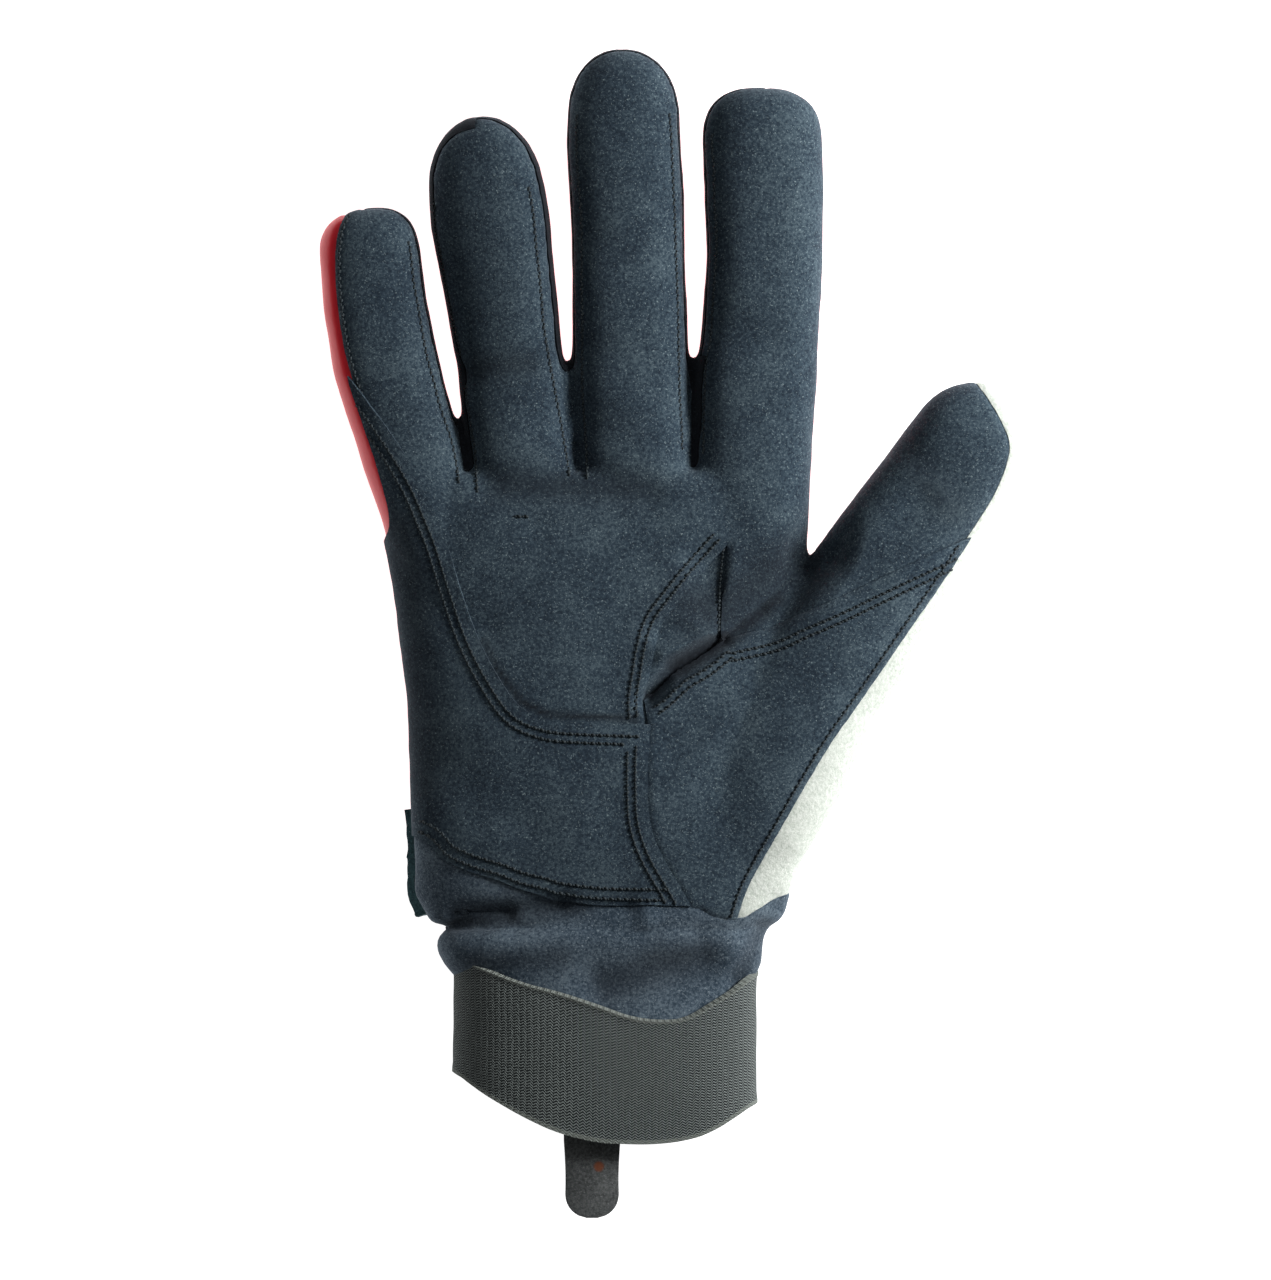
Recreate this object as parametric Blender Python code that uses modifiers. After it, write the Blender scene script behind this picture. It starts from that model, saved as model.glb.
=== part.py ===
"""A right-hand batting glove of suede, knit and elastic, lying on its back with the palm up.

Metres, +Z up. The fingers point along +Y and the thumb leans towards +X. Every piece is first cut out of
flat-laid forms whose middle plane is level, and then lifted into the pose in which the glove lies.
"""

import math
from collections import namedtuple

import bmesh
import bpy
from mathutils import Matrix, Vector

MM = 0.001

# Overall sizes of the hand
PALM_LENGTH = 87.0 * MM  # from the heel of the hand to the roots of the fingers
PALM_RISE = 13.0 * MM  # palm side above the middle plane, at its thickest
PALM_DROP = 13.0 * MM  # back of the hand below the middle plane
MIDDLE_HEIGHT = 13.0 * MM  # the middle plane above the table
PALM_WIDTH = 95.4 * MM  # across the roots of the four fingers
FINGER_RISE = 9.0 * MM
FINGER_DROP = 9.0 * MM
THUMB_RISE = 13.0 * MM
THUMB_DROP = 11.0 * MM
FINGER_CURL = 7.0 * MM  # lift of the longest fingertip above the level hand
THUMB_LIFT = 5.0 * MM  # lift of the thumb's tip
THUMB_FREE = 0.45  # share of the thumb's length at which it leaves the hand
WIDEST = 1.40  # half widths from its axis within which a point belongs to a digit
ROLLED_AT = 0.45  # share of a finger's length at which it has its full roll

# Materials' thicknesses and the room that sewn pieces keep
SUEDE = 1.2 * MM
PATCH = 1.1 * MM
MOUND_RISE = 0.8 * MM  # the thumb's patch stands out over the suede around it
GAP = 0.3 * MM
HEAD_ROOM = 40.0 * MM  # how far the cutters reach past the glove
BLOCK_STEP = 4.0 * MM  # each further block of one cutter reaches this much further
SHORTEST_EDGE = 0.004 * MM
FLAT = math.radians(0.3)  # faces closer to level than this are one face
# Shares of a finger's half width, out from its axis, at which the cutters for the fingers end
INDEX_SIDE = 1.35
THUMB_SIDE = 1.40
LITTLE_FRONT = 0.15
LITTLE_BACK = 3.0
CROTCH = 4.4 * MM  # where the pieces between the fingers begin, along each finger from its root
CREASE_ROOM = 6.0 * MM  # how far the thumb's cutter reaches past the crease of the thumb

# Side panels between the fingers, as heights from the middle plane
SIDE_UP = 5.6 * MM
SIDE_DOWN = 5.6 * MM

# Wrist, elastic cuff band, closing strap and pull tab
CUFF_HALF = 33.4 * MM
CUFF_RISE = 14.0 * MM
CUFF_DROP = 12.8 * MM
WRIST_LENGTH = 27.0 * MM
BAND_HEIGHT = 26.0 * MM
BAND_THICK = 1.6 * MM
BAND_TOP = -11.0 * MM  # the band's upper corner on the little finger's side
STRAP_THICK = 2.8 * MM
STRAP_WIDTH = 22.5 * MM
STRAP_REACH = 58.0 * MM  # from the hand's edge across the back of the wrist
STRAP_CORNER = 3.0 * MM  # cut off each corner of the strap's free end
STRAP_START = 0.6 * MM  # the strap's lower edge above the lower edge of the hand
STRAP_TOP = 2.3 * MM  # the strap's upper end below the middle plane
TAB_WIDTH = 12.6 * MM
TAB_LENGTH = 30.0 * MM
TAB_THICK = 1.2 * MM
TAB_END = -68.4 * MM
TAB_CENTRE = -2.8 * MM
TAB_HOLE = 0.9 * MM  # radius of the punched hole
TAB_HOLE_UP = 11.8 * MM  # from the tab's end to the hole's centre
TAB_DROOP = math.radians(7.0)
TAB_ROOM = 0.4 * MM  # the tab's root below the band's inner face, besides the usual gap

# Fineness of the forms
DIGIT_SIDES = 16
HAND_SIDES = 28
WRIST_SIDES = 36
CAP_STEPS = (24, 46, 64, 80)  # degrees round a fingertip
BOXY = 3.0  # power of the fingers' cross-section: 2 is an ellipse
HAND_BOXY = 2.7
CUFF_BOXY = 2.5

Row = namedtuple("Row", "along left right front back")
Digit = namedtuple("Digit", "name root forward length half cap_power roll rise drop rows")
Fold = namedtuple("Fold", "across top bottom")
Point = namedtuple("Point", "across along")
PALM_HALF = PALM_WIDTH / 2


def in_metres(point):
    """A place given as shares of half the palm's width and of its length."""
    return Vector((point.across * PALM_HALF, point.along * PALM_LENGTH))


def make_digit(name, root, tip, half, cap_power, roll, rise, drop, rows):
    """A digit from its root to its tip; half its width is a share of half the palm's."""
    start = in_metres(root)
    run = in_metres(tip) - start
    return Digit(
        name, start, run.normalized(), run.length, half * PALM_HALF, cap_power, roll, rise, drop, rows
    )


# Each digit's rows give shares: along its length, of its half width, and of its rise and drop.
FINGERS = (
    make_digit(
        "little", Point(-0.822, 1.0), Point(-1.103, 1.757), 0.231, 2.6, 0.0, FINGER_RISE, FINGER_DROP,
        (
            Row(-0.07, 0.75, 0.85, 0.90, 0.90),
            Row(0.17, 1.02, 0.93, 0.98, 1.00),
            Row(0.37, 1.17, 0.83, 0.95, 0.97),
            Row(0.50, 1.24, 0.79, 0.94, 0.94),
            Row(0.70, 1.16, 0.82, 0.92, 0.90),
            Row(0.86, 1.02, 0.88, 0.88, 0.86),
        ),
    ),
    make_digit(
        "ring", Point(-0.350, 1.0), Point(-0.588, 1.989), 0.251, 2.0, -12.0, FINGER_RISE, FINGER_DROP,
        (
            Row(-0.07, 1.05, 0.98, 1.02, 1.00),
            Row(0.20, 0.98, 0.98, 1.00, 1.00),
            Row(0.40, 0.95, 0.98, 0.96, 0.97),
            Row(0.62, 1.04, 1.03, 0.98, 0.95),
            Row(0.74, 1.08, 1.06, 0.97, 0.93),
            Row(0.81, 1.04, 1.03, 0.94, 0.90),
        ),
    ),
    make_digit(
        "middle", Point(0.136, 1.0), Point(0.077, 2.158), 0.256, 2.1, 0.0, FINGER_RISE, FINGER_DROP,
        (
            Row(-0.07, 0.98, 1.00, 1.02, 1.00),
            Row(0.15, 0.98, 1.05, 1.02, 1.00),
            Row(0.26, 1.03, 1.02, 1.00, 1.00),
            Row(0.45, 0.98, 1.03, 0.97, 0.97),
            Row(0.62, 0.95, 1.01, 1.00, 0.95),
            Row(0.78, 1.00, 0.99, 0.97, 0.92),
            Row(0.86, 0.97, 0.96, 0.93, 0.90),
        ),
    ),
    make_digit(
        "index", Point(0.679, 1.0), Point(0.733, 2.059), 0.268, 2.5, 0.0, FINGER_RISE, FINGER_DROP,
        (
            Row(-0.07, 0.90, 0.80, 0.90, 0.90),
            Row(0.20, 1.02, 0.99, 1.02, 1.00),
            Row(0.31, 1.01, 1.02, 1.00, 1.00),
            Row(0.43, 0.90, 1.04, 0.96, 0.97),
            Row(0.62, 0.86, 1.07, 0.99, 0.95),
            Row(0.78, 0.94, 1.03, 0.97, 0.92),
            Row(0.88, 1.01, 0.99, 0.93, 0.90),
        ),
    ),
)
THUMB = make_digit(
    "thumb", Point(0.455, 0.089), Point(1.766, 1.314), 0.283, 2.1, 0.0, THUMB_RISE, THUMB_DROP,
    (
        Row(0.12, 1.18, 1.37, 0.98, 0.80),
        Row(0.20, 1.18, 1.28, 1.00, 0.92),
        Row(0.28, 1.15, 1.25, 1.00, 1.00),
        Row(0.39, 1.11, 1.13, 0.96, 1.00),
        Row(0.48, 1.10, 1.20, 0.90, 1.00),
        Row(0.60, 1.01, 1.15, 0.82, 0.92),
        Row(0.74, 0.87, 1.13, 0.76, 0.84),
        Row(0.87, 0.71, 1.11, 0.72, 0.78),
    ),
)
# The hand's rows are shares of the palm's length, of half its width and of its rise and drop.
HAND_ROWS = (
    Row(-0.025, 0.800, 0.805, 0.83, 0.74),
    Row(0.06, 0.855, 0.862, 0.90, 0.74),
    Row(0.15, 0.860, 0.920, 0.97, 0.74),
    Row(0.26, 0.868, 0.955, 1.00, 0.76),
    Row(0.36, 0.872, 0.960, 1.00, 1.03),
    Row(0.52, 0.885, 0.945, 0.98, 1.05),
    Row(0.66, 0.920, 0.930, 0.93, 1.05),
    Row(0.78, 0.945, 0.925, 0.87, 1.03),
    Row(0.88, 0.980, 0.925, 0.81, 0.98),
    Row(1.00, 1.030, 0.940, 0.75, 0.86),
    Row(1.06, 1.050, 0.940, 0.71, 0.80),
    Row(1.10, 1.020, 0.910, 0.64, 0.70),
)
# The wrist's rows are shares of its length, of the cuff's half width and of its rise and drop.
WRIST_ROWS = (
    Row(0.00, 1.12, 1.14, 0.77, 0.72),
    Row(0.07, 0.99, 1.07, 0.66, 0.76),
    Row(0.17, 1.11, 1.04, 0.82, 0.80),
    Row(0.24, 1.00, 1.04, 0.76, 0.80),
    Row(0.30, 0.91, 0.99, 0.79, 0.80),
    Row(0.40, 0.91, 0.92, 0.81, 0.81),
    Row(0.49, 0.91, 0.91, 0.83, 0.81),
    Row(1.00, 0.91, 0.91, 0.83, 0.81),
)
# The band's two rims on the palm side: across is a share of half the cuff, the others of the band's height.
BAND_FOLDS = (
    Fold(-1.00, 0.00, 0.96),
    Fold(-0.83, 0.09, 1.13),
    Fold(-0.57, 0.22, 1.32),
    Fold(-0.30, 0.31, 1.48),
    Fold(-0.04, 0.42, 1.56),
    Fold(0.16, 0.52, 1.57),
    Fold(0.36, 0.55, 1.57),
    Fold(0.55, 0.53, 1.54),
    Fold(0.69, 0.41, 1.48),
    Fold(0.85, 0.30, 1.36),
    Fold(1.00, 0.14, 1.23),
)
BAND_BACK_SHORTER = 0.12  # share of the height by which the back's rims stand higher
BAND_LEVELS = 4

# Seam lines on the palm side: shares of half the palm's width and of the palm's length.
WEB_LIP = (
    Point(0.568, 0.915), Point(0.434, 0.834), Point(0.342, 0.771), Point(0.258, 0.708),
    Point(0.222, 0.645), Point(0.203, 0.582), Point(0.185, 0.518),
)
WEB_BACK_SEAM = (Point(0.568, 0.915), Point(0.549, 0.797), Point(0.545, 0.668))
THUMB_CREASE = (Point(0.545, 0.668), Point(0.760, 0.780), Point(0.960, 0.885))
WEB_VALLEY = (
    Point(0.185, 0.518), Point(0.249, 0.544), Point(0.342, 0.590), Point(0.434, 0.620),
    Point(0.545, 0.668),
)
THUMB_LIP = (
    Point(0.545, 0.668), Point(0.757, 0.695), Point(0.895, 0.729), Point(1.034, 0.761),
    Point(1.218, 0.809), Point(1.356, 0.845), Point(1.495, 0.880), Point(1.668, 0.924),
)
KNIT_SEAM = (
    Point(1.668, 0.924), Point(1.545, 0.820), Point(1.356, 0.670), Point(1.149, 0.506),
    Point(1.034, 0.417), Point(0.895, 0.291), Point(0.803, 0.202), Point(0.711, 0.114),
    Point(0.642, 0.050), Point(0.600, -0.040),
)
KNIT_TIP_SEAM = (
    Point(1.668, 0.924), Point(1.785, 1.025), Point(1.850, 1.110), Point(1.860, 1.170),
    Point(1.800, 1.245), Point(1.690, 1.340),
)
HEEL_SIDE = (
    Point(0.203, 0.456), Point(0.194, 0.367), Point(0.194, 0.291), Point(0.203, 0.215),
    Point(0.249, 0.139), Point(0.342, 0.050), Point(0.388, 0.018),
)
HEEL_SEAM = (Point(0.185, 0.518), *HEEL_SIDE, Point(0.420, -0.040))
LITTLE_SEAM = (
    Point(-1.150, 0.700), Point(-1.015, 0.900), Point(-0.975, 0.975), Point(-1.030, 1.100),
    Point(-1.105, 1.225), Point(-1.170, 1.330), Point(-1.215, 1.430), Point(-1.245, 1.580),
    Point(-1.235, 1.690), Point(-1.190, 1.770), Point(-1.180, 1.900),
)
HEEL_PATCH = (
    Point(-1.250, 0.190), Point(-1.250, 0.650), *LITTLE_SEAM[:6],
    Point(-1.080, 1.263), Point(-0.960, 1.170), Point(-0.850, 1.070), Point(-0.785, 0.990),
    Point(-0.730, 0.915), Point(-0.665, 0.800), Point(-0.590, 0.683), Point(-0.505, 0.590),
    Point(-0.397, 0.505), Point(-0.280, 0.473), Point(-0.140, 0.463), *HEEL_SIDE,
    Point(0.100, 0.030), Point(-0.200, 0.040), Point(-0.480, 0.090), Point(-0.780, 0.155),
)
BACK_SEAM = (Point(0.960, 0.885), Point(0.600, 0.450), Point(0.300, -0.040))


def smooth_step(value):
    """0 below 0, 1 above 1, and an even ramp with level ends in between."""
    held = min(1.0, max(0.0, value))
    return held * held * (3.0 - 2.0 * held)


def curve_power(value, power):
    """The signed root that turns a circle's sine or cosine into a squarer outline's."""
    return math.copysign(abs(value) ** (2.0 / power), value)


DIGITS = (*FINGERS, THUMB)


def to_the_side(digit):
    """Unit vector across a digit, in the plane of the table."""
    return Vector((digit.forward.y, -digit.forward.x))


def on_palm(points):
    """Seam points in metres."""
    return [in_metres(point) for point in points]


def new_object(name, mesh, collection):
    made = bpy.data.objects.new(name, mesh)
    collection.objects.link(made)
    return made


def section(centre, across, left, right, front, back, power, sides, floor):
    """One ring of a form: a squared ellipse with its own reach to each side, flattened on the table."""
    ring = []
    for step in range(sides):
        angle = 2.0 * math.pi * step / sides
        sideways = curve_power(math.cos(angle), power)
        upward = curve_power(math.sin(angle), power)
        reach = right if sideways > 0 else left
        height = front if upward > 0 else back
        x, y = centre + across * (sideways * reach)
        ring.append(Vector((x, y, max(floor, MIDDLE_HEIGHT + upward * height))))
    return ring


def loft(name, rings, collection):
    """A closed solid through rings of equal count."""
    shape = bmesh.new()
    rows = [[shape.verts.new(point) for point in ring] for ring in rings]
    sides = len(rings[0])
    for lower, upper in zip(rows, rows[1:]):
        for i in range(sides):
            j = (i + 1) % sides
            shape.faces.new((lower[i], lower[j], upper[j], upper[i]))
    shape.faces.new(rows[0])
    shape.faces.new(rows[-1])
    bmesh.ops.triangulate(shape, faces=shape.faces, quad_method="FIXED")
    bmesh.ops.recalc_face_normals(shape, faces=shape.faces)
    mesh = bpy.data.meshes.new(name)
    shape.to_mesh(mesh)
    shape.free()
    return new_object(name, mesh, collection)


def digit_rings(digit, grow):
    """Rings from a digit's root to its rounded tip, each wall moved out by grow."""
    across = to_the_side(digit)
    rings = []
    for row in digit.rows:
        along = row.along * digit.length - (grow if row is digit.rows[0] else 0.0)
        rings.append(
            section(
                digit.root + digit.forward * along, across,
                row.left * digit.half + grow, row.right * digit.half + grow,
                row.front * digit.rise + grow, row.back * digit.drop + grow,
                BOXY, DIGIT_SIDES, -grow,
            )
        )
    last = digit.rows[-1]
    start = last.along * digit.length
    for degrees in CAP_STEPS:
        turn = math.radians(degrees)
        share = math.cos(turn) ** (2.0 / digit.cap_power)
        reach = start + (digit.length - start + grow) * math.sin(turn) ** (2.0 / digit.cap_power)
        rings.append(
            section(
                digit.root + digit.forward * reach, across,
                (last.left * digit.half + grow) * share, (last.right * digit.half + grow) * share,
                (last.front * digit.rise + grow) * share, (last.back * digit.drop + grow) * share,
                BOXY, DIGIT_SIDES, -grow,
            )
        )
    return rings


def hand_rings(grow, open_wrist):
    """Rings from the heel of the hand to the roots of the fingers."""
    across = Vector((1.0, 0.0))
    rings = []
    for row in HAND_ROWS:
        y = row.along * PALM_LENGTH
        if row is HAND_ROWS[-1]:
            y += grow
        if row is HAND_ROWS[0] and open_wrist:
            y -= SUEDE
        rings.append(
            section(
                Vector((0.0, y)), across,
                row.left * PALM_HALF + grow, row.right * PALM_HALF + grow,
                row.front * PALM_RISE + grow, row.back * PALM_DROP + grow,
                HAND_BOXY, HAND_SIDES, -grow,
            )
        )
    return rings


def combine(target, other, operation):
    """Joins or cuts target with other, keeps the result and drops the other's object."""
    cut = target.modifiers.new(operation.lower(), "BOOLEAN")
    cut.operation = operation
    cut.solver = "EXACT"
    cut.object = other
    bpy.context.view_layer.update()
    result = bpy.data.meshes.new_from_object(
        target.evaluated_get(bpy.context.evaluated_depsgraph_get())
    )
    target.modifiers.clear()
    target.data = tidied(result)
    bpy.data.objects.remove(other)
    return target


def tidied(mesh):
    """The mesh in triangles, without edges too short for 32-bit numbers or faces folded onto each other."""
    shape = bmesh.new()
    shape.from_mesh(mesh)
    bmesh.ops.dissolve_degenerate(shape, dist=SHORTEST_EDGE, edges=shape.edges)
    bmesh.ops.dissolve_limit(
        shape, angle_limit=FLAT, verts=shape.verts, edges=shape.edges, delimit=set()
    )
    bmesh.ops.triangulate(shape, faces=shape.faces)
    seen = {}
    for face in shape.faces:
        seen.setdefault(frozenset(face.verts), []).append(face)
    folded = [face for faces in seen.values() if len(faces) > 1 for face in faces]
    bmesh.ops.delete(shape, geom=folded, context="FACES")
    shape.to_mesh(mesh)
    shape.free()
    return mesh


def copy_of(original, name, collection):
    return new_object(name, original.data.copy(), collection)


def glove_form(grow, digits, open_wrist=False):
    """The hand and the digits named, as one solid with its walls moved out by grow."""
    form = loft("form", hand_rings(grow, open_wrist), HELPERS)
    for digit in digits:
        combine(form, loft(digit.name, digit_rings(digit, grow), HELPERS), "UNION")
    return form


def inset(outline, distance):
    """The outline moved inwards, corner by corner; it runs clockwise or anticlockwise."""
    count = len(outline)
    area = sum(
        outline[i].x * outline[(i + 1) % count].y - outline[(i + 1) % count].x * outline[i].y
        for i in range(count)
    )
    inward = distance if area > 0 else -distance
    moved = []
    for i, here in enumerate(outline):
        before = (here - outline[i - 1]).normalized()
        after = (outline[(i + 1) % count] - here).normalized()
        normal = (Vector((-before.y, before.x)) + Vector((-after.y, after.x))).normalized()
        corner = max(0.35, normal.dot(Vector((-after.y, after.x))))
        moved.append(here + normal * (inward / corner))
    return moved


def prism(outline, low, high, margin=GAP / 2):
    """An upright block over an outline, from one height to another above the middle plane."""
    shape = bmesh.new()
    corners = [
        shape.verts.new((p.x, p.y, MIDDLE_HEIGHT + low)) for p in inset(outline, margin)
    ]
    floor = shape.faces.new(corners)
    raised = bmesh.ops.extrude_face_region(shape, geom=[floor])["geom"]
    bmesh.ops.translate(
        shape,
        vec=(0.0, 0.0, high - low),
        verts=[item for item in raised if isinstance(item, bmesh.types.BMVert)],
    )
    bmesh.ops.recalc_face_normals(shape, faces=shape.faces)
    bmesh.ops.triangulate(shape, faces=shape.faces)
    mesh = bpy.data.meshes.new("prism")
    shape.to_mesh(mesh)
    shape.free()
    return new_object("prism", mesh, HELPERS)


def clip(wall, name, blocks):
    """The wall between an outer and an inner form, where it lies inside the blocks."""
    outer, inner = wall
    cutter = blocks[0]
    for block in blocks[1:]:
        combine(cutter, block, "UNION")
    piece = combine(copy_of(outer, name, GLOVE), cutter, "INTERSECT")
    return combine(piece, copy_of(inner, "inside", HELPERS), "DIFFERENCE")


def discard(wall):
    for form in wall:
        bpy.data.objects.remove(form)


def place_on(digit, point):
    """How far a point is along a digit from its root, and to its side."""
    offset = Vector((point.x, point.y)) - digit.root
    return offset.dot(digit.forward), offset.dot(to_the_side(digit))


def nearest_digit(point):
    """The digit whose axis is nearest, in half widths; none below the roots or beside the hand."""
    reached = []
    for digit in DIGITS:
        along, aside = place_on(digit, point)
        start = THUMB_FREE * digit.length if digit is THUMB else 0.0
        if along > start and abs(aside) < WIDEST * digit.half:
            reached.append((abs(aside) / digit.half, digit))
    return min(reached, key=lambda found: found[0])[1] if reached else None


def lie_down(piece):
    """Rolls and lifts each digit from the level form into the pose in which the glove lies."""
    longest = max(finger.length for finger in FINGERS)
    for vertex in piece.data.vertices:
        point = vertex.co
        digit = nearest_digit(point)
        if digit is None:
            continue
        along, aside = place_on(digit, point)
        if digit is THUMB:
            point.z += THUMB_LIFT * ((along / digit.length - THUMB_FREE) / (1.0 - THUMB_FREE)) ** 2
            continue
        turn = math.radians(digit.roll) * smooth_step(along / (ROLLED_AT * digit.length) - 0.1)
        height = point.z - MIDDLE_HEIGHT
        rolled = aside * math.cos(turn) + height * math.sin(turn)
        across = to_the_side(digit)
        point.x += across.x * (rolled - aside)
        point.y += across.y * (rolled - aside)
        point.z = MIDDLE_HEIGHT + height * math.cos(turn) - aside * math.sin(turn)
        point.z += FINGER_CURL * (along / longest) ** 2


def paint(piece, name, colour, roughness):
    material = bpy.data.materials.get(name) or bpy.data.materials.new(name)
    material.use_nodes = True
    surface = material.node_tree.nodes["Principled BSDF"]
    surface.inputs["Base Color"].default_value = (*colour, 1.0)
    surface.inputs["Roughness"].default_value = roughness
    surface.inputs["Metallic"].default_value = 0.0
    piece.data.materials.clear()
    piece.data.materials.append(material)


def digit_point(digit, along, aside):
    """A point in the plane beside a digit's axis."""
    return digit.root + digit.forward * along + to_the_side(digit) * aside


def far_past(block):
    """Reach of a cutter's blocks past the glove, so that no two of them share a plane."""
    return HEAD_ROOM + block * BLOCK_STEP


def finger_base(digit):
    return digit_point(digit, CROTCH, 0.0)


def front_palm_outline():
    """Palm side as far as the seams of the thumb, with an arm along each outer finger's outer half."""
    little, ring, middle, index = FINGERS
    wide = far_past(0)
    heel = HAND_ROWS[0].along * PALM_LENGTH - wide
    return [
        Vector((-PALM_HALF - wide, heel)),
        Vector((-PALM_HALF - wide, LITTLE_SEAM[0].along * PALM_LENGTH)),
        *on_palm(LITTLE_SEAM),
        digit_point(little, little.length + wide, 0.0),
        finger_base(little),
        finger_base(ring),
        finger_base(middle),
        finger_base(index),
        digit_point(index, index.length + wide, 0.0),
        digit_point(index, index.length + wide, THUMB_SIDE * index.half),
        digit_point(index, 0.0, THUMB_SIDE * index.half),
        *reversed(on_palm(THUMB_CREASE)),
        *reversed(on_palm(WEB_BACK_SEAM)[:-1]),
        *on_palm(WEB_LIP)[1:],
        *on_palm(HEEL_SEAM)[1:],
        Vector((HEEL_SEAM[-1].across * PALM_HALF, heel)),
    ]


def finger_field(wide, little_side):
    """From the fingers' roots past their tips; little_side is a share of the little finger's half width."""
    little, index = FINGERS[0], FINGERS[-1]
    return [
        digit_point(little, -CROTCH, -little_side * little.half),
        digit_point(index, -CROTCH, INDEX_SIDE * index.half),
        digit_point(index, index.length + wide, INDEX_SIDE * index.half),
        digit_point(little, index.length + wide, -little_side * little.half),
    ]


GLOVE = bpy.data.collections.new("batting_glove")
HELPERS = bpy.data.collections.new("cutters")


def clear_scene():
    for item in list(bpy.data.objects):
        bpy.data.objects.remove(item)
    bpy.context.scene.collection.children.link(GLOVE)
    bpy.context.scene.collection.children.link(HELPERS)


def make_hand_panels():
    """Suede palm, coloured back, side panels, thumb, web and the knit side, all cut from one hollow shell."""
    shell = (glove_form(0.0, DIGITS), glove_form(-SUEDE, DIGITS, open_wrist=True))
    little, ring, middle, index = FINGERS
    first_heel, second_heel, third_heel = (
        HAND_ROWS[0].along * PALM_LENGTH - far_past(block) for block in range(3)
    )

    clip(
        shell, "palm_panel",
        [
            prism(front_palm_outline(), 0.0, far_past(0)),
            prism(finger_field(far_past(1), LITTLE_FRONT), SIDE_UP, far_past(1)),
        ],
    )

    thumb_front = [
        *on_palm(THUMB_LIP),
        *on_palm(KNIT_TIP_SEAM)[1:],
        digit_point(THUMB, THUMB.length + far_past(0), 0.0),
        digit_point(THUMB, THUMB.length, -2.2 * THUMB.half),
        on_palm(THUMB_CREASE)[-1] + Vector((0.0, CREASE_ROOM)),
        *reversed(on_palm(THUMB_CREASE)[1:]),
    ]
    clip(shell, "thumb_front", [prism(thumb_front, 0.0, far_past(0))])

    web = [*on_palm(WEB_LIP), *on_palm(WEB_VALLEY)[1:], *reversed(on_palm(WEB_BACK_SEAM)[1:-1])]
    clip(shell, "web_gusset", [prism(web, 0.0, far_past(0))])

    knit_side = [
        *reversed(on_palm(KNIT_SEAM)),
        *on_palm(KNIT_TIP_SEAM)[1:],
        digit_point(THUMB, THUMB.length + far_past(0), 0.0),
        digit_point(THUMB, THUMB.length + far_past(0), 4.0 * THUMB.half),
        Vector((2.4 * PALM_HALF, first_heel)),
        Vector((KNIT_SEAM[-1].across * PALM_HALF, first_heel)),
    ]
    knit_back = [
        *on_palm(BACK_SEAM),
        Vector((BACK_SEAM[-1].across * PALM_HALF, second_heel)),
        Vector((2.6 * PALM_HALF, second_heel)),
        digit_point(THUMB, THUMB.length + far_past(1), 4.4 * THUMB.half),
        digit_point(THUMB, THUMB.length + far_past(1), -2.2 * THUMB.half),
    ]
    clip(
        shell, "thumb_back",
        [prism(knit_back, -far_past(1), -GAP), prism(knit_side, -2.0 * GAP, far_past(0))],
    )

    hand_back = [
        Vector((-PALM_HALF - far_past(0), first_heel)),
        Vector((-PALM_HALF - far_past(0), PALM_LENGTH)),
        digit_point(little, little.length + far_past(0), -2.0 * little.half),
        digit_point(little, little.length + far_past(0), 0.0),
        finger_base(little),
        finger_base(ring),
        finger_base(middle),
        finger_base(index),
        digit_point(index, index.length + far_past(0), 0.0),
        digit_point(index, index.length + far_past(0), THUMB_SIDE * index.half),
        digit_point(index, 0.0, THUMB_SIDE * index.half),
        *on_palm(BACK_SEAM),
        Vector((BACK_SEAM[-1].across * PALM_HALF, first_heel)),
    ]
    little_side = [
        *on_palm(LITTLE_SEAM),
        digit_point(little, little.length + far_past(2), 0.0),
        digit_point(little, little.length + far_past(2), -4.0 * little.half),
        Vector((-PALM_HALF - far_past(2), LITTLE_SEAM[0].along * PALM_LENGTH)),
    ]
    clip(
        shell, "back_panel",
        [
            prism(hand_back, -far_past(0), -GAP),
            prism(finger_field(far_past(1), LITTLE_BACK), -far_past(1), -SIDE_DOWN - GAP),
            prism(little_side, -2.0 * GAP, far_past(2)),
        ],
    )

    for near, far in zip(FINGERS, FINGERS[1:]):
        between = [
            finger_base(near),
            digit_point(near, near.length + HEAD_ROOM, 0.0),
            digit_point(far, far.length + HEAD_ROOM, 0.0),
            finger_base(far),
        ]
        clip(
            shell, f"side_panel_{near.name}_{far.name}",
            [prism(between, -SIDE_DOWN, SIDE_UP - GAP)],
        )
    discard(shell)


def make_patches():
    """Two suede patches sewn on the palm side: the heel patch, and the raised patch on the thumb's mound."""
    over = (glove_form(GAP + PATCH, DIGITS), glove_form(GAP, DIGITS))
    clip(over, "heel_patch", [prism(on_palm(HEEL_PATCH), 0.0, HEAD_ROOM)])
    discard(over)

    mound = (glove_form(MOUND_RISE, DIGITS), glove_form(MOUND_RISE - SUEDE, DIGITS))
    outline = [
        *on_palm(WEB_VALLEY),
        *on_palm(THUMB_LIP)[1:],
        *on_palm(KNIT_SEAM)[1:],
        *reversed(on_palm(HEEL_SEAM)[1:]),
    ]
    clip(mound, "thumb_patch", [prism(outline, 0.0, HEAD_ROOM)])
    discard(mound)


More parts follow.
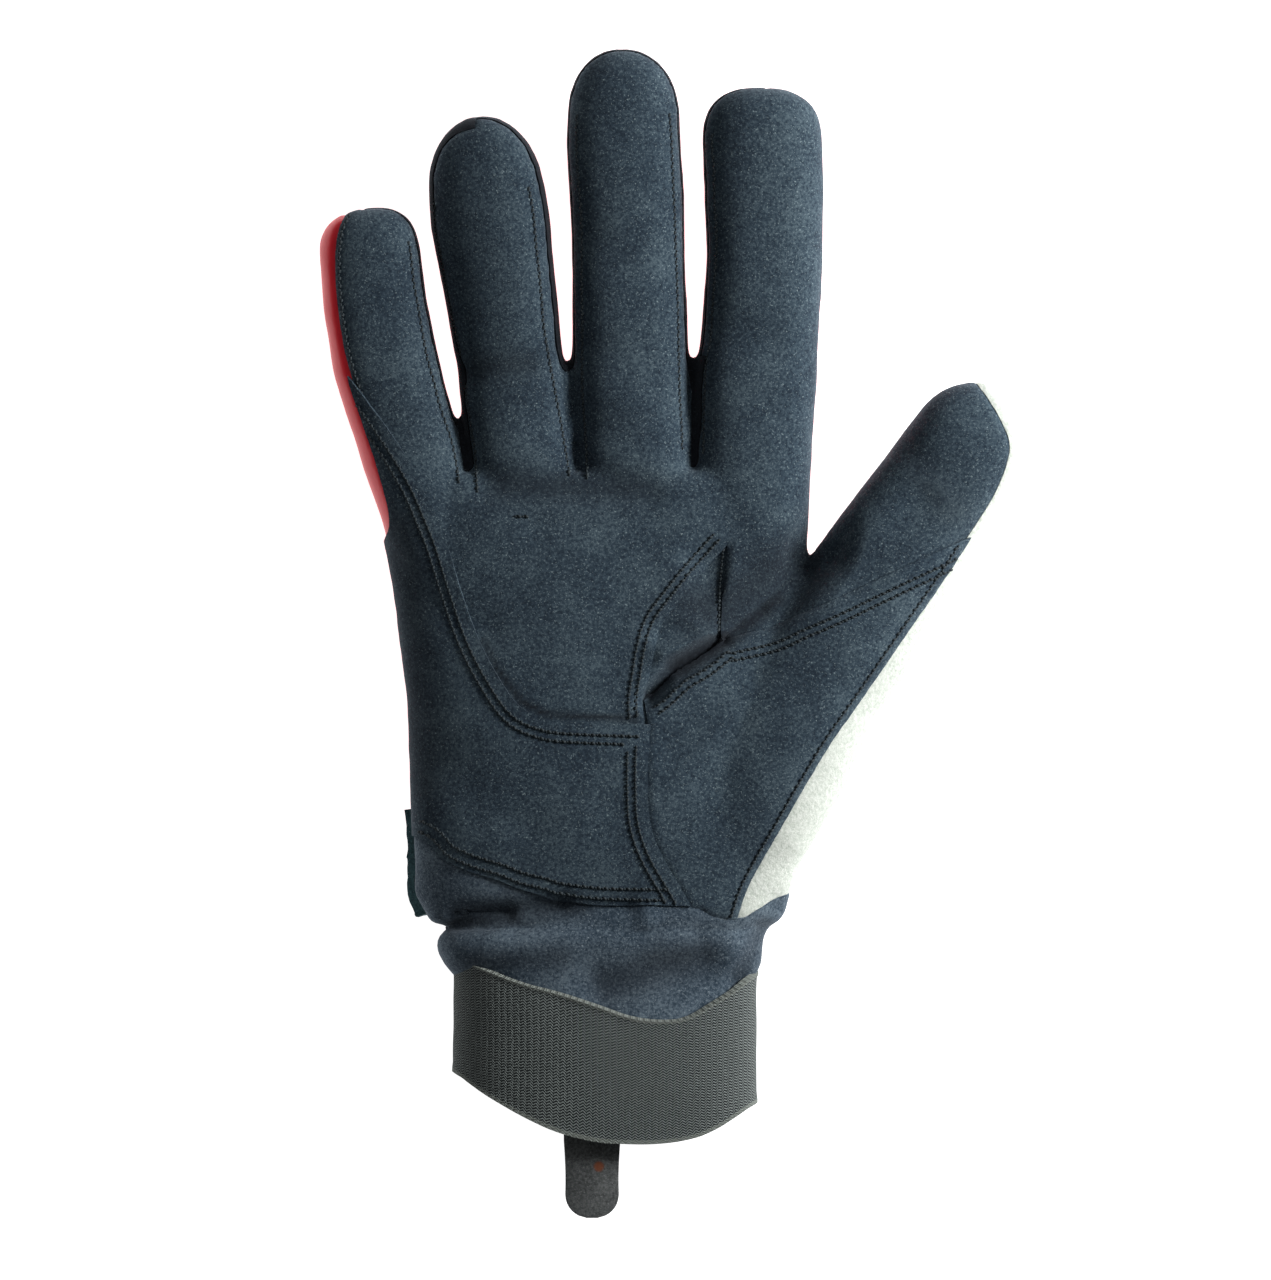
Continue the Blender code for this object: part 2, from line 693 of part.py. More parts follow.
def make_strap():
    """Closing strap across the back of the wrist; its root wraps the little finger's edge of the hand."""
    over = (glove_form(GAP + STRAP_THICK, ()), glove_form(GAP, (), open_wrist=True))
    low = HAND_ROWS[0].along * PALM_LENGTH + STRAP_START
    high = low + STRAP_WIDTH
    far_end = STRAP_REACH - PALM_HALF
    outline = [
        Vector((-PALM_HALF - HEAD_ROOM, low)),
        Vector((far_end, low)),
        Vector((far_end + STRAP_CORNER, low + STRAP_CORNER)),
        Vector((far_end + STRAP_CORNER, high - STRAP_CORNER)),
        Vector((far_end, high)),
        Vector((-PALM_HALF - HEAD_ROOM, high)),
    ]
    clip(over, "wrist_strap", [prism(outline, -HEAD_ROOM, -STRAP_TOP)])
    discard(over)


def cuff_place(angle, inward):
    """Across and up from the middle plane, on the cuff's outline less a wall."""
    sideways = curve_power(math.cos(angle), CUFF_BOXY)
    upward = curve_power(math.sin(angle), CUFF_BOXY)
    height = (CUFF_RISE if upward > 0 else CUFF_DROP) - inward
    return sideways * (CUFF_HALF - inward), upward * height


def rim_heights(across, on_palm_side):
    """The band's top and bottom rims at a share of the cuff's half width, as shares of its height."""
    first, last = BAND_FOLDS[0], BAND_FOLDS[-1]
    if not on_palm_side:
        share = (across + 1.0) / 2.0
        bow = BAND_BACK_SHORTER * (1.0 - across * across)
        return (
            first.top + (last.top - first.top) * share - bow,
            first.bottom + (last.bottom - first.bottom) * share - bow,
        )
    for low, high in zip(BAND_FOLDS, BAND_FOLDS[1:]):
        if across <= high.across:
            share = (across - low.across) / (high.across - low.across)
            return (
                low.top + (high.top - low.top) * share,
                low.bottom + (high.bottom - low.bottom) * share,
            )
    return last.top, last.bottom


def make_wrist():
    """Soft wrist panel, gathered into the cuff; its folds are the rows of its table."""
    start = HAND_ROWS[0].along * PALM_LENGTH - GAP - SUEDE / 2
    rings = []
    for row in WRIST_ROWS:
        rings.append(
            section(
                Vector((0.0, start - row.along * WRIST_LENGTH)), Vector((1.0, 0.0)),
                row.left * CUFF_HALF, row.right * CUFF_HALF,
                row.front * CUFF_RISE, row.back * CUFF_DROP,
                CUFF_BOXY, WRIST_SIDES, 0.0,
            )
        )
    return tube_wall("wrist_panel", rings, SUEDE)


def make_band():
    """Woven elastic band; both rims dip on the palm side."""
    levels = []
    for level in range(BAND_LEVELS + 1):
        share = level / BAND_LEVELS
        ring = []
        for step in range(WRIST_SIDES):
            angle = 2.0 * math.pi * step / WRIST_SIDES
            x, z = cuff_place(angle, 0.0)
            top, bottom = rim_heights(x / CUFF_HALF, z >= 0.0)
            drop = top + (bottom - top) * share
            ring.append(Vector((x, BAND_TOP - drop * BAND_HEIGHT, MIDDLE_HEIGHT + z)))
        levels.append(ring)
    return tube_wall("cuff_band", levels, BAND_THICK)


def tube_wall(name, rings, thick):
    """An open tube through rings, thickened inwards."""
    shape = bmesh.new()
    rows = [[shape.verts.new(point) for point in ring] for ring in rings]
    for upper, lower in zip(rows, rows[1:]):
        for i in range(len(upper)):
            j = (i + 1) % len(upper)
            shape.faces.new((upper[i], lower[i], lower[j], upper[j]))
    bmesh.ops.recalc_face_normals(shape, faces=shape.faces)
    mesh = bpy.data.meshes.new(name)
    shape.to_mesh(mesh)
    shape.free()
    tube = new_object(name, mesh, GLOVE)
    wall = tube.modifiers.new("wall", "SOLIDIFY")
    wall.thickness = thick
    wall.offset = -1.0
    bpy.context.view_layer.update()
    tube.data = bpy.data.meshes.new_from_object(
        tube.evaluated_get(bpy.context.evaluated_depsgraph_get())
    )
    tube.modifiers.clear()
    return tube


def make_tab():
    """Leather pull tab sewn inside the band's palm side, with a rounded end and a punched hole."""
    half = TAB_WIDTH / 2
    corner = 0.8 * half
    shape = bmesh.new()
    outline = [Vector((-half, TAB_LENGTH)), Vector((-0.94 * half, corner))]
    for step in range(7):
        angle = math.pi + math.pi / 2 * step / 6
        turn = Vector((math.cos(angle), math.sin(angle))) * corner
        outline.append(Vector((corner - half, corner)) + turn)
    outline += [Vector((-p.x, p.y)) for p in reversed(outline[2:])]
    outline += [Vector((0.94 * half, corner)), Vector((half, TAB_LENGTH))]
    outline = [p for i, p in enumerate(outline) if i == 0 or (p - outline[i - 1]).length > 1e-5]
    face = shape.faces.new([shape.verts.new((p.x, p.y, 0.0)) for p in outline])
    raised = bmesh.ops.extrude_face_region(shape, geom=[face])["geom"]
    bmesh.ops.translate(
        shape, vec=(0.0, 0.0, TAB_THICK),
        verts=[item for item in raised if isinstance(item, bmesh.types.BMVert)],
    )
    bmesh.ops.recalc_face_normals(shape, faces=shape.faces)
    mesh = bpy.data.meshes.new("pull_tab")
    shape.to_mesh(mesh)
    shape.free()
    tab = new_object("pull_tab", mesh, GLOVE)

    punch = bmesh.new()
    bmesh.ops.create_cone(
        punch, cap_ends=True, segments=16, radius1=TAB_HOLE, radius2=TAB_HOLE, depth=4.0 * TAB_THICK,
        matrix=Matrix.Translation((0.0, TAB_HOLE_UP, TAB_THICK / 2)),
    )
    punch_mesh = bpy.data.meshes.new("punch")
    punch.to_mesh(punch_mesh)
    punch.free()
    combine(tab, new_object("punch", punch_mesh, HELPERS), "DIFFERENCE")

    top = MIDDLE_HEIGHT + CUFF_RISE - BAND_THICK - GAP - TAB_THICK
    place = Matrix.Translation((TAB_CENTRE, TAB_END + TAB_LENGTH, top - TAB_ROOM))
    droop = Matrix.Rotation(TAB_DROOP, 4, "X")
    tab.data.transform(place @ droop @ Matrix.Translation((0.0, -TAB_LENGTH, 0.0)))
    return tab


def centre_on_table():
    """Moves the glove so that the origin is under the middle of its bounding box, on the table."""
    corners = [piece.matrix_world @ v.co for piece in GLOVE.objects for v in piece.data.vertices]
    low = Vector(min(c[i] for c in corners) for i in range(3))
    high = Vector(max(c[i] for c in corners) for i in range(3))
    shift = Matrix.Translation((-(low.x + high.x) / 2, -(low.y + high.y) / 2, -low.z))
    for piece in GLOVE.objects:
        piece.data.transform(shift)


clear_scene()
make_hand_panels()
make_patches()
make_strap()
make_wrist()
make_band()
make_tab()
for piece in GLOVE.objects:
    if piece.name not in ("wrist_panel", "cuff_band", "pull_tab"):
        lie_down(piece)
centre_on_table()

BLACK = (0.018, 0.022, 0.028)
for piece in GLOVE.objects:
    if piece.name == "back_panel":
        paint(piece, "red_back", (0.72, 0.02, 0.03), 0.5)
    elif piece.name == "thumb_back":
        paint(piece, "white_knit", (0.82, 0.85, 0.78), 0.85)
    elif piece.name == "cuff_band":
        paint(piece, "elastic", (0.03, 0.036, 0.038), 0.8)
    elif piece.name == "pull_tab":
        paint(piece, "tab_leather", (0.035, 0.035, 0.035), 0.75)
    elif piece.name == "wrist_strap":
        paint(piece, "strap", (0.012, 0.03, 0.032), 0.7)
    else:
        paint(piece, "suede", BLACK, 0.9)
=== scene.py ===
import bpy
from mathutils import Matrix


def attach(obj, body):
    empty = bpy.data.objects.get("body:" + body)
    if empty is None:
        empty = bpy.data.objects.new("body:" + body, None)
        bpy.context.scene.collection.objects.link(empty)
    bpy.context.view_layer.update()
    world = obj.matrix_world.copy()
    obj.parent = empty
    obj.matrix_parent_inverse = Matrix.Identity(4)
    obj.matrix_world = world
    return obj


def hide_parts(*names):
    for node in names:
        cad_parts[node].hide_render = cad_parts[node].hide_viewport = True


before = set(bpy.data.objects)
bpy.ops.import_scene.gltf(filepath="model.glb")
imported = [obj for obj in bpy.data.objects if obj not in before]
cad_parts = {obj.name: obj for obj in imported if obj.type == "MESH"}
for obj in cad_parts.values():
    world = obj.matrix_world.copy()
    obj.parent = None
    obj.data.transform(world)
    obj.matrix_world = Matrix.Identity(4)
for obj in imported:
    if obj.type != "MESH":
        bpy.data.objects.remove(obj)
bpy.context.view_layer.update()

import math
from collections import namedtuple

import bmesh
import bpy
import numpy as np
from mathutils import Matrix, Vector, noise
from mathutils.bvhtree import BVHTree
from mathutils.kdtree import KDTree

# Camera: straight down on the palm through a long lens, as the photograph shows the glove.
PHOTO_PIXELS = (1271, 1280)
PHOTO_SCALE = 0.22e-3  # metres of glove for each pixel
PHOTO_CENTRE = (635.5, 640.0)
GLOVE_CENTRE = (674.5, 634.0)  # the pixel over the glove's origin
CAMERA_HEIGHT = 1.6
bpy.ops.object.camera_add(
    location=(
        (PHOTO_CENTRE[0] - GLOVE_CENTRE[0]) * PHOTO_SCALE,
        (GLOVE_CENTRE[1] - PHOTO_CENTRE[1]) * PHOTO_SCALE,
        CAMERA_HEIGHT,
    ),
    rotation=(0.0, 0.0, 0.0),
)
camera = bpy.context.object
camera.name = "camera"
camera.data.sensor_fit = "VERTICAL"
camera.data.sensor_height = 24.0
camera.data.lens = 24.0 * (CAMERA_HEIGHT - 0.015) / (PHOTO_PIXELS[1] * PHOTO_SCALE)
camera.data.clip_start = 0.05
camera.data.dof.use_dof = False
bpy.context.scene.camera = camera

# Floor and lights: a pale floor that glows, so that it shows no shadows, a soft lamp low on the thumb's
# side, which leaves the left side of each finger dark, and a broad weak one beyond the fingertips.
bpy.ops.mesh.primitive_plane_add(size=6.0, location=(0.0, 0.0, -0.0004))
floor = bpy.context.object
floor.name = "floor"
floor_paint = bpy.data.materials.new("floor")
floor_paint.use_nodes = True
floor_surface = floor_paint.node_tree.nodes["Principled BSDF"]
floor_surface.inputs["Base Color"].default_value = (0.93, 0.93, 0.93, 1.0)
floor_surface.inputs["Roughness"].default_value = 0.9
floor_surface.inputs["Emission Color"].default_value = (1.0, 1.0, 1.0, 1.0)
floor_surface.inputs["Emission Strength"].default_value = 1.0
floor.data.materials.append(floor_paint)
world = bpy.data.worlds.new("studio")
world.use_nodes = True
world.node_tree.nodes["Background"].inputs["Color"].default_value = (1.0, 1.0, 1.0, 1.0)
world.node_tree.nodes["Background"].inputs["Strength"].default_value = 0.11
bpy.context.scene.world = world
for light_name, place, size, power in (
    ("key", (0.46, 0.17, 0.27), 0.20, 4.7),
    ("fill", (0.1, 0.8, 1.2), 0.7, 1.8),
):
    bpy.ops.object.light_add(type="AREA", location=place)
    light = bpy.context.object
    light.name = light_name
    light.data.shape = "DISK"
    light.data.size = size
    light.data.energy = power
    light.rotation_euler = (-Vector(place)).to_track_quat("-Z", "Y").to_euler()
bpy.context.scene.view_settings.view_transform = "Standard"

# The glove's outer form: hand and five digits, soft leather over air, lying on its back.
# Digits are stacks of squared ellipses, extruded row by row and fused into one skin.
MM = 0.001
PALM_LENGTH = 87.0 * MM
PALM_HALF = 47.7 * MM
PALM_RISE = 13.0 * MM
PALM_DROP = 13.0 * MM
MIDDLE_HEIGHT = 13.0 * MM
FINGER_RISE = 9.0 * MM
FINGER_DROP = 9.0 * MM
THUMB_RISE = 13.0 * MM
THUMB_DROP = 11.0 * MM
SKIN_STEP = 1.05 * MM  # size of the skin's own faces
# A row: how far along, and how far out to the left, right, front and back, all as shares of the digit's
# own sizes, or of the palm's.
Row = namedtuple("Row", "along left right front back")
Digit = namedtuple("Digit", "name root half length lean cap cap_power roll rise drop rows")
little = Digit(
    "little", (-39.2 * MM, PALM_LENGTH), 11.0 * MM, 67.2 * MM, -11.5, 9.5 * MM, 2.6, 0.0,
    FINGER_RISE, FINGER_DROP,
    (
        Row(-0.20, 0.70, 0.85, 0.90, 0.90), Row(0.02, 0.92, 0.92, 1.00, 1.00),
        Row(0.17, 1.04, 0.95, 0.98, 1.00), Row(0.37, 1.19, 0.84, 0.95, 0.97),
        Row(0.50, 1.26, 0.80, 0.94, 0.94), Row(0.70, 1.20, 0.83, 0.92, 0.90),
        Row(0.86, 1.05, 0.90, 0.88, 0.86),
    ),
)
ring = Digit(
    "ring", (-16.7 * MM, PALM_LENGTH), 12.0 * MM, 86.8 * MM, -7.5, 16.5 * MM, 2.0, -12.0,
    FINGER_RISE, FINGER_DROP,
    (
        Row(-0.20, 0.90, 0.90, 0.90, 0.90), Row(0.02, 1.05, 0.98, 1.02, 1.00),
        Row(0.20, 0.98, 0.98, 1.00, 1.00), Row(0.40, 0.95, 0.98, 0.96, 0.97),
        Row(0.62, 1.05, 1.04, 0.98, 0.95), Row(0.74, 1.10, 1.07, 0.97, 0.93),
        Row(0.81, 1.06, 1.05, 0.94, 0.90),
    ),
)
middle = Digit(
    "middle", (6.5 * MM, PALM_LENGTH), 12.2 * MM, 100.8 * MM, -1.6, 13.8 * MM, 2.1, 0.0,
    FINGER_RISE, FINGER_DROP,
    (
        Row(-0.15, 0.90, 0.90, 0.90, 0.90), Row(0.02, 0.98, 1.00, 1.02, 1.00),
        Row(0.15, 1.00, 1.05, 1.02, 1.00), Row(0.26, 1.04, 1.03, 1.00, 1.00),
        Row(0.45, 1.00, 1.04, 0.97, 0.97), Row(0.62, 0.97, 1.03, 1.00, 0.95),
        Row(0.78, 1.02, 1.01, 0.97, 0.92), Row(0.86, 1.00, 0.99, 0.93, 0.90),
    ),
)
index = Digit(
    "index", (32.4 * MM, PALM_LENGTH), 12.8 * MM, 92.2 * MM, 1.6, 10.8 * MM, 2.5, 0.0,
    FINGER_RISE, FINGER_DROP,
    (
        Row(-0.20, 0.90, 0.80, 0.90, 0.90), Row(0.02, 1.00, 0.95, 1.02, 1.00),
        Row(0.20, 1.03, 1.00, 1.02, 1.00), Row(0.31, 1.03, 1.03, 1.00, 1.00),
        Row(0.43, 0.94, 1.05, 0.96, 0.97), Row(0.62, 0.90, 1.08, 0.99, 0.95),
        Row(0.78, 0.97, 1.04, 0.97, 0.92), Row(0.88, 1.03, 1.01, 0.93, 0.90),
    ),
)
thumb = Digit(
    "thumb", (21.7 * MM, 7.7 * MM), 13.5 * MM, 123.6 * MM, 30.4, 15.6 * MM, 2.1, 0.0,
    THUMB_RISE, THUMB_DROP,
    (
        Row(0.02, 0.95, 1.05, 0.80, 0.70), Row(0.12, 1.12, 1.27, 0.95, 0.80),
        Row(0.20, 1.18, 1.27, 1.00, 0.92), Row(0.28, 1.16, 1.25, 1.00, 1.00),
        Row(0.39, 1.13, 1.14, 0.96, 1.00), Row(0.48, 1.13, 1.20, 0.90, 1.00),
        Row(0.60, 1.05, 1.15, 0.82, 0.92), Row(0.74, 0.91, 1.14, 0.76, 0.84),
        Row(0.87, 0.75, 1.12, 0.72, 0.78),
    ),
)
FINGERS = (little, ring, middle, index)
WRIST_FORM = (
    Row(0.060, 0.870, 0.800, 0.84, 0.70), Row(0.030, 0.870, 0.820, 0.82, 0.72),
    Row(-0.005, 0.830, 0.840, 0.80, 0.74), Row(-0.030, 0.790, 0.800, 0.76, 0.74),
    Row(-0.048, 0.660, 0.755, 0.72, 0.74), Row(-0.068, 0.715, 0.735, 0.78, 0.76),
    Row(-0.085, 0.765, 0.722, 0.86, 0.78), Row(-0.110, 0.765, 0.716, 0.88, 0.78),
    Row(-0.150, 0.725, 0.712, 0.86, 0.78), Row(-0.195, 0.650, 0.655, 0.84, 0.78),
    Row(-0.360, 0.640, 0.640, 0.84, 0.78),
)
DIGITS = (little, ring, middle, index, thumb)
HAND_ROWS = (
    Row(-0.040, 0.800, 0.805, 0.83, 0.74), Row(0.06, 0.862, 0.862, 0.90, 0.74),
    Row(0.15, 0.868, 0.920, 0.97, 0.74), Row(0.26, 0.875, 0.955, 1.00, 0.76),
    Row(0.36, 0.880, 0.960, 1.00, 1.03), Row(0.52, 0.893, 0.945, 0.98, 1.05),
    Row(0.66, 0.928, 0.930, 0.93, 1.05), Row(0.78, 0.953, 0.925, 0.87, 1.03),
    Row(0.88, 0.985, 0.925, 0.81, 0.98), Row(1.00, 1.035, 0.940, 0.75, 0.86),
    Row(1.06, 1.050, 0.940, 0.71, 0.80), Row(1.09, 1.000, 0.890, 0.60, 0.66),
)


def squared_ring(power, sides):
    """Adds a filled ring, one metre in radius, facing +Y, squared by a power."""
    bpy.ops.mesh.primitive_circle_add(vertices=sides, radius=1.0, fill_type="NGON")
    stack = bpy.context.object
    for vertex in stack.data.vertices:
        x, y = vertex.co.x, vertex.co.y
        vertex.co = (
            math.copysign(abs(x) ** (2.0 / power), x),
            0.0,
            math.copysign(abs(y) ** (2.0 / power), y),
        )
    return stack


def pick(*pieces):
    """Selects pieces for the next operator and makes the last one active."""
    bpy.ops.object.select_all(action="DESELECT")
    for piece in pieces:
        piece.select_set(True)
    bpy.context.view_layer.objects.active = pieces[-1]


def modify(piece, kind, **values):
    """Adds a modifier to a piece and applies it."""
    pick(piece)
    modifier = piece.modifiers.new("change", kind)
    for key, value in values.items():
        setattr(modifier, key, value)
    bpy.ops.object.modifier_apply(modifier=modifier.name)


def stack_rows(stack, rows):
    """Extrudes the ring through rows of (along, centre across, centre up, half width, half height)."""
    first = rows[0]
    for vertex in stack.data.vertices:
        vertex.co = (
            first[1] + vertex.co.x * first[3], first[0], first[2] + vertex.co.z * first[4]
        )
    pick(stack)
    bpy.ops.object.mode_set(mode="EDIT")
    bpy.ops.mesh.select_all(action="SELECT")
    for before, here in zip(rows, rows[1:]):
        move = (here[1] - before[1], here[0] - before[0], here[2] - before[2])
        bpy.ops.mesh.extrude_region_move(TRANSFORM_OT_translate={"value": move})
        bpy.ops.transform.resize(
            value=(here[3] / before[3], 1.0, here[4] / before[4]),
            center_override=(here[1], here[0], here[2]),
        )
    bpy.ops.mesh.select_all(action="SELECT")
    bpy.ops.mesh.normals_make_consistent(inside=False)
    bpy.ops.object.mode_set(mode="OBJECT")


def measured(rows, length, half, rise, drop):
    """The table's shares as stack_rows wants them, in metres."""
    return [
        (
            row.along * length,
            (row.right - row.left) / 2 * half,
            MIDDLE_HEIGHT + (row.front * rise - row.back * drop) / 2,
            (row.right + row.left) / 2 * half,
            (row.front * rise + row.back * drop) / 2,
        )
        for row in rows
    ]


def digit_stack(digit):
    """One digit as a stack of rows with a rounded tip, laid at its root."""
    rows = measured(digit.rows, digit.length, digit.half, digit.rise, digit.drop)
    last = rows[-1]
    for degrees in (18, 35, 50, 63, 74, 83):
        share = math.cos(math.radians(degrees)) ** (2.0 / digit.cap_power)
        reach = (digit.length - last[0]) * math.sin(math.radians(degrees)) ** (2.0 / digit.cap_power)
        rows.append((last[0] + reach, last[1], last[2], last[3] * share, last[4] * share))
    stack = squared_ring(2.3, 32)
    stack_rows(stack, rows)
    stack.location = (digit.root[0], digit.root[1], 0.0)
    stack.rotation_euler = (0.0, 0.0, -math.radians(digit.lean))
    return stack


stacks = [digit_stack(digit) for digit in DIGITS]
hand_stack = squared_ring(2.6, 48)
wrist_stack = squared_ring(2.4, 48)
for stack, rows in ((hand_stack, HAND_ROWS), (wrist_stack, WRIST_FORM[::-1])):
    stack_rows(stack, measured(rows, PALM_LENGTH, PALM_HALF, PALM_RISE, PALM_DROP))
pick(*stacks, wrist_stack, hand_stack)
bpy.ops.object.transform_apply(location=True, rotation=True, scale=True)
bpy.ops.object.join()
skin = bpy.context.object
skin.name = "skin"
modify(skin, "REMESH", mode="VOXEL", voxel_size=SKIN_STEP)
modify(skin, "SMOOTH", factor=0.5, iterations=14)


def read_points(piece):
    points = np.empty(len(piece.data.vertices) * 3)
    piece.data.vertices.foreach_get("co", points)
    return points.reshape(-1, 3)


def read_normals(piece):
    normals = np.empty(len(piece.data.vertices) * 3)
    piece.data.vertices.foreach_get("normal", normals)
    return normals.reshape(-1, 3)


def write_points(piece, points):
    piece.data.vertices.foreach_set("co", np.ascontiguousarray(points).ravel())
    piece.data.update()


def soft_noise(points, size, seed):
    """Smooth noise from -1 to 1 with features of a size in metres."""
    offset = Vector((seed * 7.13, seed * 3.71, seed * 5.39))
    return np.array([noise.noise(Vector(p) / size + offset) for p in points])


# Creases of the palm side, in shares of half the palm's width and of its length: from one end to the
# other, with width and depth in millimetres. A negative depth is a ridge.
CREASES = (
    ((-0.68, -0.030), (-0.45, -0.020), 2.6, 3.4),
    ((-0.45, -0.020), (-0.20, 0.004), 2.6, 2.2),
    ((-0.66, -0.110), (-0.35, -0.085), 3.4, -1.5),
    ((-0.35, -0.085), (0.18, -0.035), 3.4, -1.5),
    ((-0.40, -0.052), (0.10, -0.008), 3.0, 1.3),
    ((0.00, -0.205), (0.44, -0.125), 5.0, 2.8),
    ((0.30, -0.080), (0.60, -0.110), 4.5, -1.1),
    ((0.60, -0.180), (0.70, -0.090), 3.0, 1.1),
    ((0.72, -0.060), (0.78, 0.000), 3.0, 1.0),
    ((-0.54, 1.060), (0.18, 1.045), 4.4, 1.3),
    ((-0.30, 0.95), (0.20, 0.98), 5.0, 0.5),
    ((-0.62, 1.345), (-0.33, 1.365), 3.4, 0.8),
    ((0.205, 0.520), (0.33, 0.590), 1.9, 4.6),
    ((0.33, 0.590), (0.56, 0.668), 2.2, 5.2),
    ((0.27, 0.635), (0.50, 0.685), 3.0, -1.7),
    ((0.56, 0.668), (0.74, 0.745), 3.0, 3.6),
    ((0.24, 0.690), (0.44, 0.690), 2.4, 0.9),
    ((0.47, 0.86), (0.52, 0.72), 4.5, 2.0),
    ((0.60, 0.720), (0.99, 0.895), 6.5, 3.2),
    ((0.30, 0.42), (0.62, 0.60), 6.0, 1.0),
    ((0.55, 0.30), (0.90, 0.62), 8.0, 0.8),
    ((-0.75, 0.35), (-0.35, 0.20), 7.0, 0.6),
    ((-0.80, 0.75), (-0.55, 0.70), 5.0, 0.5),
    ((-0.28, 1.22), (0.06, 1.20), 4.0, 0.4),
    ((0.06, 1.62), (0.24, 1.60), 5.0, 0.4),
    ((-0.10, 1.40), (0.20, 1.36), 5.0, 0.45),
    ((0.48, 1.46), (0.75, 1.43), 5.0, 0.5),
    ((0.46, 1.22), (0.74, 1.26), 5.0, 0.45),
    ((1.15, 0.80), (1.45, 1.02), 5.0, 0.7),
    ((1.40, 1.15), (1.62, 1.05), 4.5, 0.5),
)


def fading(points, start, end, width):
    """From 1 on the line between two places to 0 far off, in plan."""
    start = np.array(start) * (PALM_HALF, PALM_LENGTH)
    run = np.array(end) * (PALM_HALF, PALM_LENGTH) - start
    share = np.clip(((points[:, :2] - start) @ run) / (run @ run), 0.0, 1.0)
    away = np.linalg.norm(points[:, :2] - start - share[:, None] * run, axis=1)
    return np.exp(-((away / (width * MM)) ** 2))


def crease_depth(points):
    dents = np.zeros(len(points))
    ridges = np.zeros(len(points))
    for start, end, width, depth in CREASES:
        fade = depth * MM * fading(points, start, end, width)
        if depth > 0:
            dents = np.maximum(dents, fade)
        else:
            ridges = np.minimum(ridges, fade)
    return dents + ridges


# Where folds and overlaps lie in shadow: from one place to another, with width in millimetres and how
# dark. The panels carry it as an attribute that their materials read.
SHADES = (
    ((0.210, 0.530), (0.32, 0.600), 1.3, 0.92),
    ((0.320, 0.600), (0.56, 0.675), 2.1, 0.96),
    ((0.560, 0.675), (0.80, 0.775), 2.2, 0.80),
    ((0.430, 0.760), (0.56, 0.730), 6.5, 0.60),
    ((0.560, 0.760), (0.90, 0.875), 7.5, 0.58),
    ((-0.45, 1.062), (0.15, 1.050), 4.0, 0.45),
    ((-0.58, 1.355), (-0.33, 1.365), 3.0, 0.40),
    ((-0.555, 0.668), (-0.490, 0.595), 0.8, 0.60),
    ((-0.490, 0.595), (-0.385, 0.516), 0.8, 0.85),
    ((-0.385, 0.516), (-0.270, 0.484), 0.8, 0.85),
    ((-0.270, 0.484), (0.150, 0.470), 0.8, 0.80),
    ((-0.68, -0.040), (-0.40, -0.022), 2.8, 0.70),
    ((-0.40, -0.022), (-0.12, 0.000), 2.4, 0.55),
    ((0.00, -0.205), (0.42, -0.130), 4.5, 0.55),
    ((-0.60, -0.145), (-0.20, -0.130), 3.0, 0.35),
    ((0.62, -0.180), (0.72, -0.060), 2.6, 0.45),
    ((-0.92, 0.95), (-0.85, 0.30), 5.0, 0.40),
    ((1.42, 1.12), (1.60, 1.00), 4.0, 0.35),
)


def shadow(points):
    dark = np.zeros(len(points))
    for start, end, width, depth in SHADES:
        dark = np.maximum(dark, depth * fading(points, start, end, width))
    return dark


points = read_points(skin)
normals = read_normals(skin)
facing = np.clip(normals[:, 2] * 1.6, 0.0, 1.0)
broad = soft_noise(points, 16.0 * MM, 1)
fine = soft_noise(points, 6.0 * MM, 2)
points = points - normals * (crease_depth(points) * facing)[:, None]
points = points + normals * ((0.35 + 0.32 * broad + 0.10 * fine) * MM)[:, None]
points[:, 2] = np.maximum(points[:, 2], 0.0)
write_points(skin, points)

# Palm panel: one piece of black synthetic suede for the palm and the four finger fronts, sewn to the
# side panels along each finger, to the back at the little finger's edge and to the thumb at its crease.
WEB_LIP = (
    (0.568, 0.915), (0.434, 0.834), (0.342, 0.771), (0.258, 0.708), (0.222, 0.645),
    (0.203, 0.582), (0.185, 0.518),
)
WEB_BACK_SEAM = ((0.568, 0.915), (0.549, 0.797), (0.545, 0.668))
THUMB_CREASE = ((0.545, 0.668), (0.760, 0.780), (0.960, 0.885))
HEEL_SIDE = (
    (0.203, 0.456), (0.194, 0.367), (0.194, 0.291), (0.203, 0.215), (0.249, 0.139),
    (0.342, 0.050), (0.388, 0.004),
)
HEEL_SEAM = ((0.185, 0.518), *HEEL_SIDE)
WRIST_SEAM = (
    (-1.300, 0.230), (-1.050, 0.205), (-0.835, 0.170), (-0.743, 0.124), (-0.664, 0.101), (-0.572, 0.083),
    (-0.489, 0.070), (-0.397, 0.050), (-0.281, 0.034), (-0.212, 0.022), (-0.028, 0.009), (0.157, 0.006),
    (0.388, 0.004), (0.434, -0.004), (0.503, -0.022), (0.572, -0.030), (0.641, -0.030), (0.710, -0.008),
    (0.849, 0.028), (1.300, 0.080),
)
LITTLE_SEAM = (
    (-1.150, 0.700), (-1.015, 0.900), (-0.975, 0.975), (-1.030, 1.100), (-1.105, 1.225),
    (-1.170, 1.330), (-1.215, 1.430), (-1.245, 1.580), (-1.235, 1.690), (-1.190, 1.770),
    (-1.180, 1.900),
)
LEATHER = 1.2 * MM  # thickness of a panel
# How far above the middle a front ends and a side panel starts: most fingers, the ring's and index's left
SIDE_UP = 2.0 * MM
RING_UP = 4.8 * MM
INDEX_UP = 4.4 * MM
WRAP = 4.2 * MM  # the palm's leather comes round the edge of the hand, this far below the middle
SEAM_LAP = 0.2 * MM  # each panel runs on under its neighbour at a seam


